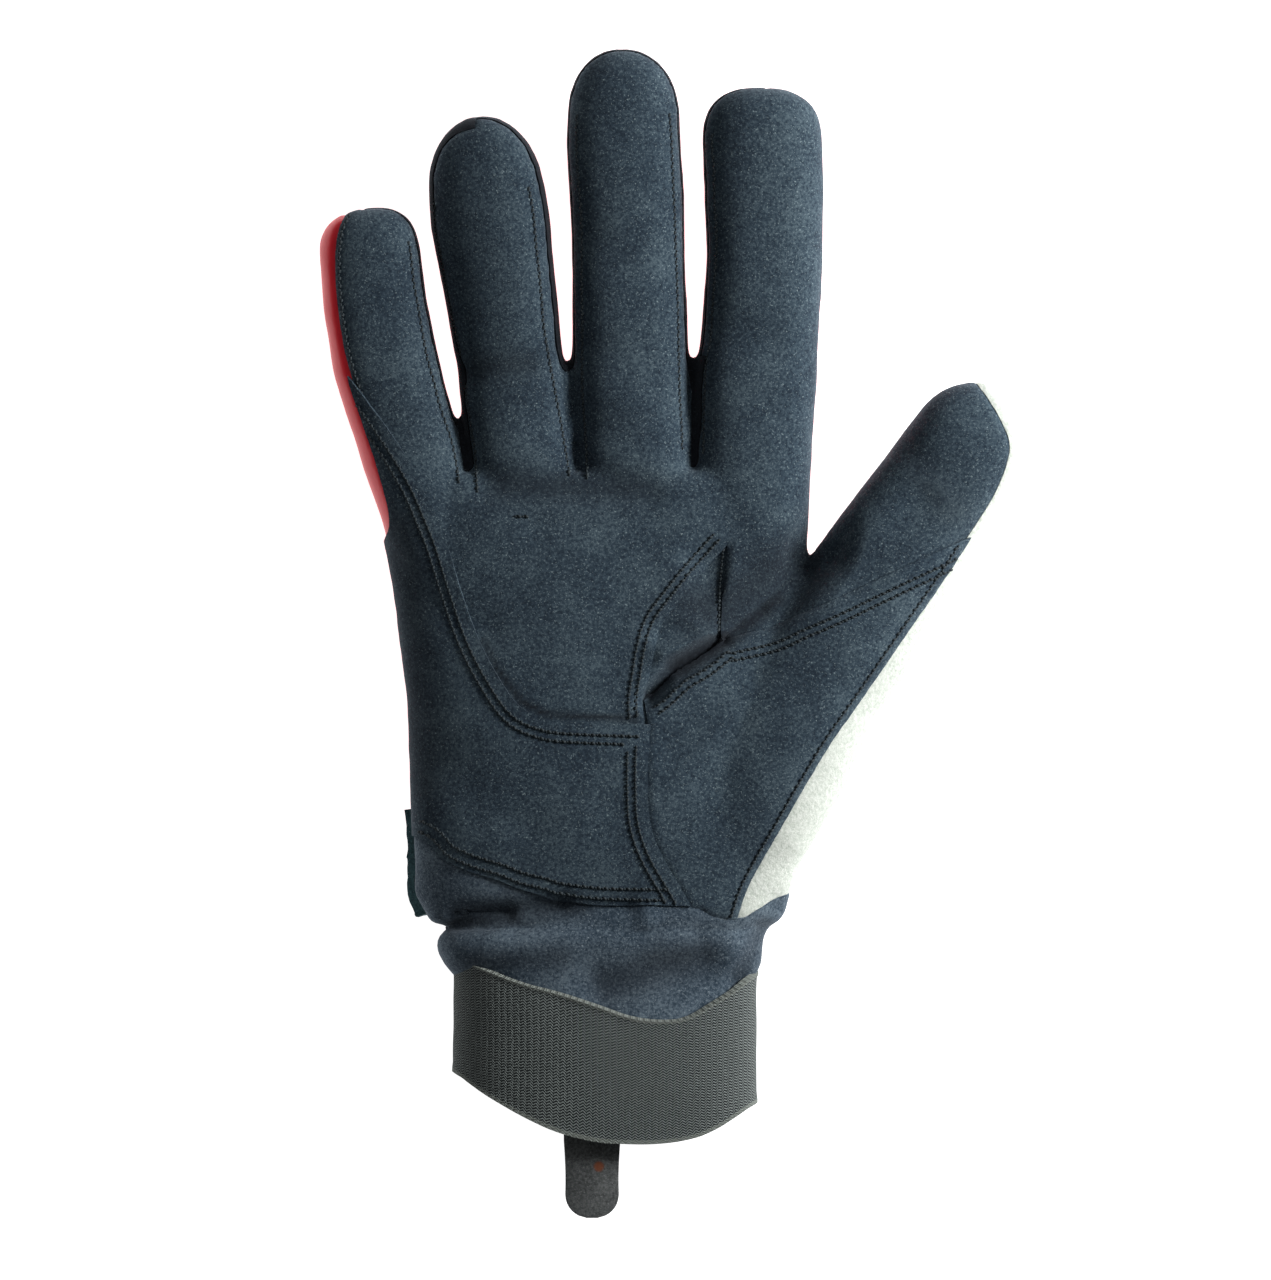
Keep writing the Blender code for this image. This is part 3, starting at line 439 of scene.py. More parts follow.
def smoothed(line, steps=6):
    """A curve through the seam's points, in metres."""
    points = [np.array(p) * (PALM_HALF, PALM_LENGTH) for p in line]
    ends = [2 * points[0] - points[1], *points, 2 * points[-1] - points[-2]]
    curve = []
    for a, b, c, d in zip(ends, ends[1:], ends[2:], ends[3:]):
        for step in range(steps):
            t = step / steps
            curve.append(
                0.5 * (2 * b + (c - a) * t + (2 * a - 5 * b + 4 * c - d) * t * t
                       + (3 * b - 3 * c + d - a) * t ** 3)
            )
    curve.append(points[-1])
    return curve


def heading(digit):
    angle = math.radians(digit.lean)
    forward = np.array((math.sin(angle), math.cos(angle)))
    return forward, np.array((forward[1], -forward[0]))


def beside(digit, along, aside):
    """A point beside a digit's axis, in plan."""
    forward, across = heading(digit)
    return np.array(digit.root) + forward * along + across * aside


def new_piece(name, shape):
    """A finished bmesh as an object."""
    mesh = bpy.data.meshes.new(name)
    shape.to_mesh(mesh)
    shape.free()
    made = bpy.data.objects.new(name, mesh)
    bpy.context.collection.objects.link(made)
    return made


def block(outline, low, high, lap=SEAM_LAP):
    """An upright block over an outline, drawn as a filled face and extruded."""
    count = len(outline)
    area = sum(
        outline[i][0] * outline[(i + 1) % count][1] - outline[(i + 1) % count][0] * outline[i][1]
        for i in range(count)
    )
    inward = -math.copysign(lap, area)
    corners = []
    for i in range(count):
        before = outline[i] - outline[i - 1]
        after = outline[(i + 1) % count] - outline[i]
        before = before / max(np.linalg.norm(before), 1e-9)
        after = after / max(np.linalg.norm(after), 1e-9)
        normal = np.array((-before[1] - after[1], before[0] + after[0]))
        normal = normal / max(np.linalg.norm(normal), 1e-9)
        corner = max(0.4, normal @ np.array((-after[1], after[0])))
        corners.append(outline[i] + normal * inward / corner)
    shape = bmesh.new()
    face = shape.faces.new([shape.verts.new((p[0], p[1], MIDDLE_HEIGHT + low)) for p in corners])
    raised = bmesh.ops.extrude_face_region(shape, geom=[face])["geom"]
    bmesh.ops.translate(
        shape, vec=(0.0, 0.0, high - low),
        verts=[item for item in raised if isinstance(item, bmesh.types.BMVert)],
    )
    bmesh.ops.recalc_face_normals(shape, faces=shape.faces)
    bmesh.ops.triangulate(shape, faces=shape.faces)
    for face in shape.faces:
        face.material_index = 1
    return new_piece("block", shape)


def boolean(target, other, operation):
    modify(target, "BOOLEAN", operation=operation, solver="EXACT", object=other)
    bpy.data.objects.remove(other)


CUT_MARKS = [bpy.data.materials.new("kept"), bpy.data.materials.new("cut")]


def panel(name, form, blocks, lift=0.0, thick=LEATHER, roll=1.6 * MM, sink=0.55 * MM, outward=False):
    """A wall cut out of a form: its edge rolls down into the seam over a width roll, by sink."""
    piece = form.copy()
    piece.data = form.data.copy()
    piece.name = name
    bpy.context.collection.objects.link(piece)
    piece.data.materials.clear()
    for mark in CUT_MARKS:
        piece.data.materials.append(mark)
    for item in blocks:
        for mark in CUT_MARKS:
            item.data.materials.append(mark)
    cutter = blocks[0]
    for item in blocks[1:]:
        boolean(cutter, item, "UNION")
    boolean(piece, cutter, "INTERSECT")
    shape = bmesh.new()
    shape.from_mesh(piece.data)
    bmesh.ops.delete(
        shape, geom=[face for face in shape.faces if face.material_index == 1], context="FACES"
    )
    bmesh.ops.remove_doubles(shape, verts=shape.verts, dist=0.12 * MM)
    bmesh.ops.dissolve_degenerate(shape, dist=0.02 * MM, edges=shape.edges)
    shape.normal_update()
    rim = [vert for vert in shape.verts if vert.is_boundary]
    tree = KDTree(len(rim))
    for i, vert in enumerate(rim):
        tree.insert(vert.co, i)
    tree.balance()
    moves = []
    for vert in shape.verts:
        away = tree.find(vert.co)[2]
        share = max(0.0, 1.0 - away / roll)
        pucker = 1.0 + 0.5 * noise.noise(vert.co / (2.2 * MM))
        wave = 0.10 * MM * noise.noise(vert.co / (3.0 * MM)) * max(0.0, 1.0 - away / (4.0 * MM))
        moves.append(lift + wave - sink * share * share * pucker)
    for vert, move in zip(shape.verts, moves):
        vert.co += vert.normal * move
    shape.to_mesh(piece.data)
    shape.free()
    piece.data.materials.clear()
    for mark in CUT_MARKS:
        piece.data.materials.append(mark)
    # Painted shadow: the darkness from SHADES, stored on the panel as the fold attribute that its material
    # reads
    fold = piece.data.attributes.new("fold", "FLOAT", "POINT")
    fold.data.foreach_set("value", shadow(read_points(piece)).astype(np.float32))
    modify(
        piece, "SOLIDIFY", material_offset=-1 if outward else 1, thickness=thick,
        offset=1.0 if outward else -1.0, use_quality_normals=True,
    )
    bpy.ops.object.shade_smooth_by_angle(angle=math.radians(50))
    return piece


REACH = 40.0 * MM
BACK_LINE = -0.040 * PALM_LENGTH
LITTLE_BASE = beside(little, 4.4 * MM, 0.0)
RING_BASE = beside(ring, 4.4 * MM, 0.0)
MIDDLE_BASE = beside(middle, 4.4 * MM, 0.0)
INDEX_BASE = beside(index, 4.4 * MM, 0.0)


def at(across, along):
    return np.array((across * PALM_HALF, along * PALM_LENGTH))


wrist_seam = smoothed(WRIST_SEAM)
to_thumb = wrist_seam[: 1 + int(np.argmin([abs(p[0] - 0.388 * PALM_HALF) for p in wrist_seam]))]
palm_outline = [
    at(-1.300, 0.700),
    *smoothed(LITTLE_SEAM),
    beside(little, little.length + REACH, 0.0),
    LITTLE_BASE, RING_BASE, MIDDLE_BASE, INDEX_BASE,
    beside(index, index.length + REACH, 0.0),
    beside(index, index.length + REACH, 1.4 * index.half),
    beside(index, 0.0, 1.4 * index.half),
    *reversed(smoothed(THUMB_CREASE)),
    *reversed(smoothed(WEB_BACK_SEAM)[:-1]),
    *smoothed(WEB_LIP)[1:],
    *smoothed(HEEL_SEAM)[1:-1],
    *reversed(to_thumb),
]


def field(left, right):
    """Part of the plan between two lines, each given as points beside digits: digit, along, aside."""
    lines = []
    for line in (left, right):
        lines.append([beside(digit, along, aside * digit.half) for digit, along, aside in line])
    return [*lines[0], *reversed(lines[1])]


# The seams between fronts and side panels lie at the fingers' widest; they come further round to the
# front on the ring finger's left, which has rolled, and at the foot of the index finger's left.
PAST = index.length + REACH
FAR = 0.36 * index.length
ring_left = ((ring, -5.0 * MM, -1.02), (ring, PAST, -1.33))
index_left = ((index, -5.0 * MM, -1.03), (index, FAR, -1.10))
ring_side = field(ring_left, ((ring, -5.0 * MM, 0.0), (ring, PAST, 0.0)))
index_side = field(index_left, ((index, -5.0 * MM, 0.0), (index, FAR, 0.0)))
fronts = (
    (((little, -4.4 * MM, -0.15), (little, PAST, -0.15)), ring_left, SIDE_UP),
    (ring_left, ((ring, -5.0 * MM, 0.1), (ring, PAST, 0.1)), RING_UP),
    (
        ((ring, -5.4 * MM, 0.0), (ring, PAST, 0.0)),
        (*index_left, (index, PAST, -1.4)), SIDE_UP + 0.01 * MM,
    ),
    (index_left, ((index, -5.8 * MM, 0.1), (index, FAR, 0.1)), INDEX_UP),
    (
        ((index, FAR, -1.4), (index, PAST, -1.8)),
        ((index, FAR, 0.2), (index, PAST, 0.2)), SIDE_UP + 0.02 * MM,
    ),
    (
        ((index, -6.2 * MM, 0.0), (index, PAST, 0.0)),
        ((index, -6.2 * MM, 1.4), (index, PAST, 1.4)), -WRAP,
    ),
)
palm_panel = panel(
    "palm_panel_suede", skin,
    [
        block(palm_outline, -WRAP, REACH),
        *(
            block(field(left, right), low, (1.1 + 0.02 * i) * REACH)
            for i, (left, right, low) in enumerate(fronts)
        ),
    ],
)

# Its stitches: black thread in short raised dashes with a dark needle hole between one and the next, a
# near-black solid that is painted shade
STITCH = 0.70 * MM
STITCH_GAP = 0.90 * MM
THREAD = 0.42 * MM  # thickness of the thread
HOLE = 0.50 * MM  # half width of a needle hole
HOLE_TOP = 0.52 * MM  # how far a hole's dark fill, painted shade, reaches over and under the stitch's end
HOLE_FOOT = 0.10 * MM


def offset_line(line, distance):
    """The curve moved to its left by a distance."""
    moved = []
    for i, point in enumerate(line):
        run = line[min(i + 1, len(line) - 1)] - line[max(i - 1, 0)]
        run = run / max(np.linalg.norm(run), 1e-9)
        moved.append(point + np.array((-run[1], run[0])) * distance)
    return moved


def dashes(line):
    """Start and end of each stitch along a curve."""
    lengths = [0.0]
    for a, b in zip(line, line[1:]):
        lengths.append(lengths[-1] + float(np.linalg.norm(b - a)))
    xs = [p[0] for p in line]
    ys = [p[1] for p in line]
    place = 0.6 * MM
    while place + STITCH < lengths[-1]:
        ends = [place, place + STITCH]
        yield np.column_stack((np.interp(ends, lengths, xs), np.interp(ends, lengths, ys)))
        place += STITCH + STITCH_GAP


def sew(name, piece, lines):
    """One mesh of thread loops over all the lines, pressed onto the piece from above."""
    shape = bmesh.new()
    shape.from_mesh(piece.data)
    tree = BVHTree.FromBMesh(shape)
    shape.free()
    thread = bmesh.new()
    for line in lines:
        for ends in dashes(line):
            spots = []
            for share in (0.0, 0.25, 0.5, 0.75, 1.0):
                x, y = ends[0] + (ends[1] - ends[0]) * share
                hit = tree.ray_cast(Vector((x, y, 0.1)), Vector((0.0, 0.0, -1.0)))
                if hit[0] is None:
                    break
                dip = THREAD * (0.42 if 0.1 < share < 0.9 else -0.45)
                spots.append(hit[0] + hit[1] * dip)
            if len(spots) < 5 or (spots[-1] - spots[0]).length > 1.6 * STITCH:
                continue
            rings = []
            run = (spots[-1] - spots[0]).normalized()
            side = run.cross(Vector((0.0, 0.0, 1.0))).normalized()
            up = side.cross(run).normalized()
            for spot, size in zip(spots, (0.55, 0.95, 1.0, 0.95, 0.55)):
                rings.append([
                    thread.verts.new(
                        spot + (side * math.cos(turn) + up * math.sin(turn)) * (THREAD * size / 2)
                    )
                    for turn in (i * math.pi / 3 for i in range(6))
                ])
            for low, high in zip(rings, rings[1:]):
                for i in range(6):
                    j = (i + 1) % 6
                    thread.faces.new((low[i], low[j], high[j], high[i]))
            thread.faces.new(rings[0])
            thread.faces.new(rings[-1])
            # The needle's hole after the stitch, a dark pit sunk into the suede: a near-black solid, painted
            # shade
            top, foot = [], []
            for turn in (i * math.pi / 3 for i in range(6)):
                spread = (run + side * 0.3) * (math.cos(turn) * HOLE) + side * (math.sin(turn) * HOLE * 0.72)
                place = spots[-1] + run * (STITCH_GAP / 2) + spread
                top.append(thread.verts.new(place + up * HOLE_TOP))
                foot.append(thread.verts.new(place - up * HOLE_FOOT))
            sides = [
                thread.faces.new((top[i], top[(i + 1) % 6], foot[(i + 1) % 6], foot[i])) for i in range(6)
            ]
            for face in (*sides, thread.faces.new(top), thread.faces.new(foot)):
                face.material_index = 1
    bmesh.ops.recalc_face_normals(thread, faces=thread.faces)
    made = new_piece(name, thread)
    made.data.shade_smooth()
    return made


def row_at(rows, along):
    """The row's shares at a place along a piece, eased between the table's rows."""
    for low, high in zip(rows, rows[1:]):
        if along <= high.along:
            share = (along - low.along) / (high.along - low.along)
            share = share * share * (3.0 - 2.0 * share)
            return [a + (b - a) * share for a, b in zip(low[1:], high[1:])]
    return list(rows[-1][1:])


def finger_edge(digit, side, start, end, inset):
    """A line down a finger, inset from its outline on one side, rounding off at the tip."""
    line = []
    for step in range(41):
        along = (start + (end - start) * step / 40) * digit.length
        left, right, _, _ = row_at(digit.rows, along / digit.length)
        reach = (right if side > 0 else left) * digit.half
        line.append(beside(digit, along, side * (reach - inset)))
    return line


EDGE = 1.9 * MM  # from a finger's outline to its row of stitches
RING_FOOT = RING_BASE + np.array((0.0, -6.0 * MM))
palm_lines = [
    offset_line(smoothed((*WEB_LIP, (0.190, 0.470))), -1.9 * MM),
    offset_line(smoothed((*WEB_LIP, (0.190, 0.470))), -3.6 * MM),
    [RING_FOOT + np.array((x * MM, 0.0)) for x in (-3.2, -2.0, -1.0, 0.0, 1.0)],
    offset_line(smoothed(LITTLE_SEAM), -1.2 * MM),
]
for digit, side, start in (
    (little, 1, 0.05), (ring, -1, 0.05), (ring, 1, 0.06), (middle, -1, 0.06), (middle, 1, 0.12),
    (index, -1, 0.12),
):
    palm_lines.append(finger_edge(digit, side, start, digit.rows[-1].along, EDGE))
thread_palm = sew("thread_palm_panel", palm_panel, palm_lines)

# The lie: each digit rolls a little and lifts off the table towards its tip, and the glove moves from the
# hand's own frame, with the heel at the origin, to its middle.
FINGER_CURL = 7.0 * MM  # how far the longest finger's tip lifts
THUMB_LIFT = 5.0 * MM  # how far the thumb's tip lifts
THUMB_FREE = 0.45  # the share of its length from which the thumb is free of the palm
SHIFT = Vector((-15.3 * MM, -59.6 * MM, 0.0))
longest = max(digit.length for digit in FINGERS)


def lie_down(piece):
    points = read_points(piece)
    best = np.full(len(points), np.inf)
    owner = np.full(len(points), -1)
    placed = []
    for number, digit in enumerate(DIGITS):
        forward, across = heading(digit)
        offset = points[:, :2] - np.array(digit.root)
        along, aside = offset @ forward, offset @ across
        placed.append((along, aside, across))
        start = THUMB_FREE * digit.length if digit is thumb else 0.0
        close = np.abs(aside) / digit.half
        better = (along > start) & (close < 1.45) & (close < best)
        best[better] = close[better]
        owner[better] = number
    for number, digit in enumerate(DIGITS):
        mine = owner == number
        along, aside, across = (placed[number][0][mine], placed[number][1][mine], placed[number][2])
        if digit is thumb:
            points[mine, 2] += THUMB_LIFT * ((along / digit.length - THUMB_FREE) / (1 - THUMB_FREE)) ** 2
            continue
        ramp = np.clip(along / (0.45 * digit.length) - 0.1, 0.0, 1.0)
        turn = math.radians(digit.roll) * ramp * ramp * (3.0 - 2.0 * ramp)
        height = points[mine, 2] - MIDDLE_HEIGHT
        rolled = aside * np.cos(turn) + height * np.sin(turn)
        points[mine, :2] += (rolled - aside)[:, None] * across
        points[mine, 2] = (
            MIDDLE_HEIGHT + height * np.cos(turn) - aside * np.sin(turn)
            + FINGER_CURL * (along / longest) ** 2
        )
    points += np.array(SHIFT)
    write_points(piece, points)


def new_material(name, colour, roughness, specular=0.25):
    material = bpy.data.materials.new(name)
    material.use_nodes = True
    surface = material.node_tree.nodes["Principled BSDF"]
    surface.inputs["Base Color"].default_value = (*colour, 1.0)
    surface.inputs["Roughness"].default_value = roughness
    surface.inputs["Specular IOR Level"].default_value = specular
    return material, material.node_tree, surface


def add(tree, kind, **values):
    node = tree.nodes.new(kind)
    for key, value in values.items():
        if key in node.inputs:
            node.inputs[key].default_value = value
        else:
            setattr(node, key, value)
    return node


def maths(tree, operation, first, second=None, third=None):
    node = add(tree, "ShaderNodeMath", operation=operation)
    for socket, value in zip(node.inputs, (first, second, third)):
        if value is None:
            continue
        if isinstance(value, (int, float)):
            socket.default_value = value
        else:
            tree.links.new(value, socket)
    return node.outputs[0]


def grain(tree, **values):
    """Noise over the piece's own place."""
    node = add(tree, "ShaderNodeTexNoise", **values)
    tree.links.new(add(tree, "ShaderNodeTexCoord").outputs["Object"], node.inputs["Vector"])
    return node.outputs["Fac"]


def toned(tree, value, *stops):
    """A value turned into colours, each stop a place from 0 to 1 and a colour."""
    node = add(tree, "ShaderNodeValToRGB")
    ends = node.color_ramp.elements
    for end, (place, colour) in zip((ends[0], ends[1]), (stops[0], stops[-1])):
        end.position = place
        end.color = (*colour, 1.0)
    for place, colour in stops[1:-1]:
        ends.new(place).color = (*colour, 1.0)
    tree.links.new(value, node.inputs["Fac"])
    return node.outputs["Color"]


def mixed(tree, share, below, above):
    node = add(tree, "ShaderNodeMix", data_type="RGBA")
    tree.links.new(share, node.inputs["Factor"])
    tree.links.new(below, node.inputs[6])
    node.inputs[7].default_value = (*above, 1.0)
    return node.outputs[2]


def between_limits(tree, value, *limits):
    """A value mapped from two limits to two others, and clamped."""
    node = add(tree, "ShaderNodeMapRange")
    for socket, limit in zip(("From Min", "From Max", "To Min", "To Max"), limits):
        node.inputs[socket].default_value = limit
    tree.links.new(value, node.inputs["Value"])
    return node.outputs[0]


def roughen(tree, surface, height, strength, distance):
    bump = add(tree, "ShaderNodeBump", Strength=strength, Distance=distance)
    tree.links.new(height, bump.inputs["Height"])
    tree.links.new(bump.outputs["Normal"], surface.inputs["Normal"])


def suede(name, dark, mid, light, lint):
    """Napped leather or cloth: mottled pile with pale lint caught in it, and painted shade in the deep
    folds.
    """
    material, tree, surface = new_material(name, mid, 0.95)
    mottle = grain(tree, Scale=90.0, Detail=3.0, Roughness=0.6)
    pile = grain(tree, Scale=1500.0, Detail=4.0, Roughness=0.7)
    fleck = grain(tree, Scale=2300.0, Detail=2.0, Roughness=0.8)
    tone = maths(tree, "MULTIPLY_ADD", mottle, 0.30, maths(tree, "MULTIPLY", pile, 0.70))
    colour = toned(tree, tone, (0.39, dark), (0.5, mid), (0.61, light))
    colour = mixed(tree, between_limits(tree, fleck, 0.60, 0.74), colour, lint)
    # Painted shade: the fold attribute mixes the colour towards near black in folds and overlaps
    fold = add(tree, "ShaderNodeAttribute", attribute_name="fold").outputs["Fac"]
    tree.links.new(mixed(tree, fold, colour, (0.003, 0.004, 0.007)), surface.inputs["Base Color"])
    roughen(tree, surface, pile, 0.35, 0.00025)
    surface.inputs["Sheen Weight"].default_value = 0.10
    surface.inputs["Sheen Roughness"].default_value = 0.5
    surface.inputs["Sheen Tint"].default_value = (0.75, 0.85, 1.0, 1.0)
    return material


SUEDE = suede(
    "suede", (0.009, 0.018, 0.030), (0.026, 0.044, 0.062), (0.064, 0.094, 0.114), (0.24, 0.31, 0.33)
)
LINING = new_material("lining", (0.010, 0.012, 0.015), 0.95)[0]
THREADS = (
    new_material("black_thread", (0.030, 0.040, 0.046), 0.7)[0],
    # Painted shade of the needle holes, near black
    new_material("needle_hole_shade", (0.002, 0.003, 0.004), 1.0)[0],
)


def dress(piece, slot, nodes, *materials):
    """Lays a finished piece down, gives it its materials, attaches it to the root body and hides the solids
    it stands for; the slot is not used.
    """
    lie_down(piece)
    piece.data.materials.clear()
    for material in materials:
        piece.data.materials.append(material)
    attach(piece, "root")
    if nodes:
        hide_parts(*nodes)


dress(palm_panel, "suede", ["palm_panel"], SUEDE, LINING)
dress(thread_palm, "suede", [], *THREADS)

# Thumb front: the palm side of the thumb from the crease at its root to the tip. The same suede, sewn to
# the thumb patch, to the palm at the crease and to the white knit along its outer edge.
THUMB_LIP = (
    (0.545, 0.668), (0.757, 0.695), (0.895, 0.729), (1.034, 0.761), (1.218, 0.809),
    (1.356, 0.845), (1.495, 0.880), (1.668, 0.924),
)
KNIT_TIP_SEAM = (
    (1.668, 0.924), (1.785, 1.025), (1.850, 1.110), (1.860, 1.170), (1.800, 1.245),
    (1.690, 1.340),
)
thumb_front_outline = [
    *smoothed(THUMB_LIP),
    *smoothed(KNIT_TIP_SEAM)[1:],
    beside(thumb, thumb.length + REACH, 0.0),
    beside(thumb, thumb.length, -2.2 * thumb.half),
    at(0.960, 0.885) + np.array((0.0, 6.0 * MM)),
    *reversed(smoothed(THUMB_CREASE)[1:]),
]
thumb_front = panel("thumb_front_suede", skin, [block(thumb_front_outline, -WRAP, REACH)])
dress(thumb_front, "suede", ["thumb_front"], SUEDE, LINING)

# Web gusset: a small suede triangle let in between palm and thumb, so that the thumb can spread. It is
# sewn in under the lips of both and lies lower than they do.
WEB_VALLEY = (
    (0.185, 0.518), (0.249, 0.544), (0.342, 0.590), (0.434, 0.620), (0.545, 0.668),
)
web_outline = [*smoothed(WEB_LIP), *smoothed(WEB_VALLEY)[1:], *reversed(smoothed(WEB_BACK_SEAM)[1:-1])]
web_gusset = panel(
    "web_gusset_suede", skin, [block(web_outline, 0.0, REACH, lap=1.6 * MM)], lift=-1.1 * MM, sink=0.0
)
thread_web = sew(
    "thread_web_gusset", web_gusset, [offset_line(smoothed(WEB_BACK_SEAM), -1.0 * MM)]
)
dress(web_gusset, "suede", ["web_gusset"], SUEDE, LINING)
dress(thread_web, "suede", [], *THREADS)

# Thumb patch: a second, raised layer of suede over the thumb's mound, double stitched at its upper edge.
# Its outer edge is sewn to the white knit and its inner one runs beside the heel patch.
KNIT_SEAM = (
    (1.668, 0.924), (1.545, 0.820), (1.356, 0.670), (1.149, 0.506), (1.034, 0.417),
    (0.895, 0.291), (0.803, 0.202), (0.711, 0.114), (0.642, 0.040), (0.600, -0.030),
)
thumb_patch_outline = [
    *smoothed(WEB_VALLEY),
    *smoothed(THUMB_LIP)[1:],
    *smoothed(KNIT_SEAM)[1:-1],
    at(0.600, -0.030), at(0.572, -0.030), at(0.503, -0.022), at(0.434, -0.004),
    *reversed(smoothed(HEEL_SEAM)[1:]),
]
thumb_patch = panel(
    "thumb_patch_suede", skin, [block(thumb_patch_outline, 0.0, REACH, lap=0.35 * MM)], lift=0.75 * MM,
    sink=0.45 * MM, roll=1.3 * MM,
)
thread_thumb = sew(
    "thread_thumb_patch", thumb_patch,
    [
        offset_line(smoothed(THUMB_LIP), -3.0 * MM), offset_line(smoothed(THUMB_LIP), -4.7 * MM),
        offset_line(smoothed(WEB_VALLEY), -2.4 * MM), offset_line(smoothed(WEB_VALLEY), -4.1 * MM),
        offset_line(smoothed(KNIT_SEAM), -1.0 * MM),
    ],
)
dress(thumb_patch, "suede", ["thumb_patch"], SUEDE, LINING)
dress(thread_thumb, "suede", [], *THREADS)

# Heel patch: wear layer of suede over the outer palm and heel, laid on top and double stitched all round.
# It is thinner than the palm's leather and its wall is built outwards from the skin.
HEEL_TOP = (
    (-1.170, 1.330), (-1.080, 1.263), (-0.960, 1.170), (-0.850, 1.070), (-0.785, 0.990),
    (-0.730, 0.915), (-0.665, 0.800), (-0.590, 0.683), (-0.505, 0.590), (-0.397, 0.505),
    (-0.280, 0.473), (-0.140, 0.463), (0.203, 0.456),
)
heel_outline = [
    *smoothed(LITTLE_SEAM)[:31],
    *smoothed(HEEL_TOP)[1:],
    *smoothed(HEEL_SIDE)[1:-1],
    *reversed(to_thumb),
    at(-1.300, 0.650),
]
heel_patch = panel(
    "heel_patch_suede", skin, [block(heel_outline, 0.0, REACH)], lift=0.10 * MM, thick=0.8 * MM,
    sink=0.0, outward=True,
)
thread_heel = sew(
    "thread_heel_patch", heel_patch,
    [
        *(
            [p for p in offset_line(smoothed(HEEL_TOP), -inset) if p[0] < 0.203 * PALM_HALF - inset]
            for inset in (2.5 * MM, 4.3 * MM)
        ),
        *(
            [p for p in offset_line(smoothed(HEEL_SIDE), -inset) if p[1] < 0.456 * PALM_LENGTH - inset]
            for inset in (2.5 * MM, 4.3 * MM)
        ),
        *(
            [p for p in offset_line(to_thumb, inset) if p[0] < 0.300 * PALM_HALF]
            for inset in (1.0 * MM, 3.3 * MM)
        ),
    ],
)
dress(heel_patch, "suede", ["heel_patch"], SUEDE, LINING)
dress(thread_heel, "suede", [], *THREADS)

# Thumb back: white brushed knit that covers the thumb's back and its outer side, to the wrist.
# It is sewn to the thumb's suede pieces and to the red back.
BACK_SEAM = ((0.960, 0.885), (0.600, 0.450), (0.300, -0.040))
knit_side = [
    *reversed(smoothed(KNIT_SEAM)),
    *smoothed(KNIT_TIP_SEAM)[1:],
    beside(thumb, thumb.length + REACH, 0.0),
    beside(thumb, thumb.length + REACH, 4.0 * thumb.half),
    at(2.400, 0.080), at(1.300, 0.080), at(0.849, 0.028), at(0.710, -0.008), at(0.641, -0.030),
]
knit_back = [
    *smoothed(BACK_SEAM),
    at(0.660, -0.040), at(0.849, 0.020), at(1.300, 0.070), at(2.600, 0.070),
    beside(thumb, thumb.length + 1.1 * REACH, 4.4 * thumb.half),
    beside(thumb, thumb.length + 1.1 * REACH, -2.2 * thumb.half),
]
thumb_back = panel(
    "thumb_back_knit", skin,
    [block(knit_back, -1.1 * REACH, 0.1 * MM - WRAP), block(knit_side, -0.2 * MM - WRAP, REACH)],
    sink=0.25 * MM, roll=1.0 * MM, lift=0.15 * MM,
)
WHITE, white_tree, white_surface = new_material("white_knit", (0.78, 0.82, 0.76), 0.95)
white_pile = grain(white_tree, Scale=1100.0, Detail=4.0, Roughness=0.7)
white_tone = toned(white_tree, white_pile, (0.3, (0.44, 0.49, 0.43)), (0.62, (0.66, 0.69, 0.64)))
white_tree.links.new(white_tone, white_surface.inputs["Base Color"])
roughen(white_tree, white_surface, white_pile, 0.6, 0.0004)
dress(thumb_back, "white_knit", ["thumb_back"], WHITE, LINING)

# Back panel: shiny red synthetic leather over the back of the hand and fingers; on the little finger
# it comes round the side and shows from the palm as a narrow strip.
SIDE_DOWN = 5.6 * MM
hand_back = [
    np.array((-PALM_HALF - REACH, BACK_LINE)),
    np.array((-PALM_HALF - REACH, PALM_LENGTH)),
    beside(little, little.length + REACH, -2.0 * little.half),
    beside(little, little.length + REACH, 0.0),
    LITTLE_BASE, RING_BASE, MIDDLE_BASE, INDEX_BASE,
    beside(index, index.length + REACH, 0.0),
    beside(index, index.length + REACH, 1.4 * index.half),
    beside(index, 0.0, 1.4 * index.half),
    *smoothed(BACK_SEAM),
]
finger_backs = [
    beside(little, -4.4 * MM, -3.0 * little.half),
    beside(index, -4.4 * MM, 1.35 * index.half),
    beside(index, index.length + 1.1 * REACH, 1.35 * index.half),
    beside(little, index.length + 1.1 * REACH, -3.0 * little.half),
]
little_side = [
    *smoothed(LITTLE_SEAM),
    beside(little, little.length + 1.2 * REACH, 0.0),
    beside(little, little.length + 1.2 * REACH, -4.0 * little.half),
    np.array((-PALM_HALF - 1.2 * REACH, 0.70 * PALM_LENGTH)),
]
back_panel = panel(
    "back_panel_red", skin,
    [
        block(hand_back, -REACH, 0.1 * MM - WRAP),
        block(finger_backs, -1.1 * REACH, 0.1 * MM - SIDE_DOWN),
        block(little_side, -0.3 * MM - WRAP, 1.2 * REACH),
    ],
    sink=0.4 * MM, lift=0.1 * MM,
)
RED, red_tree, red_surface = new_material("red_leather", (0.80, 0.010, 0.025), 0.38, 0.5)
roughen(red_tree, red_surface, grain(red_tree, Scale=900.0, Detail=3.0), 0.25, 0.0002)
dress(back_panel, "red_back", ["back_panel"], RED, LINING)

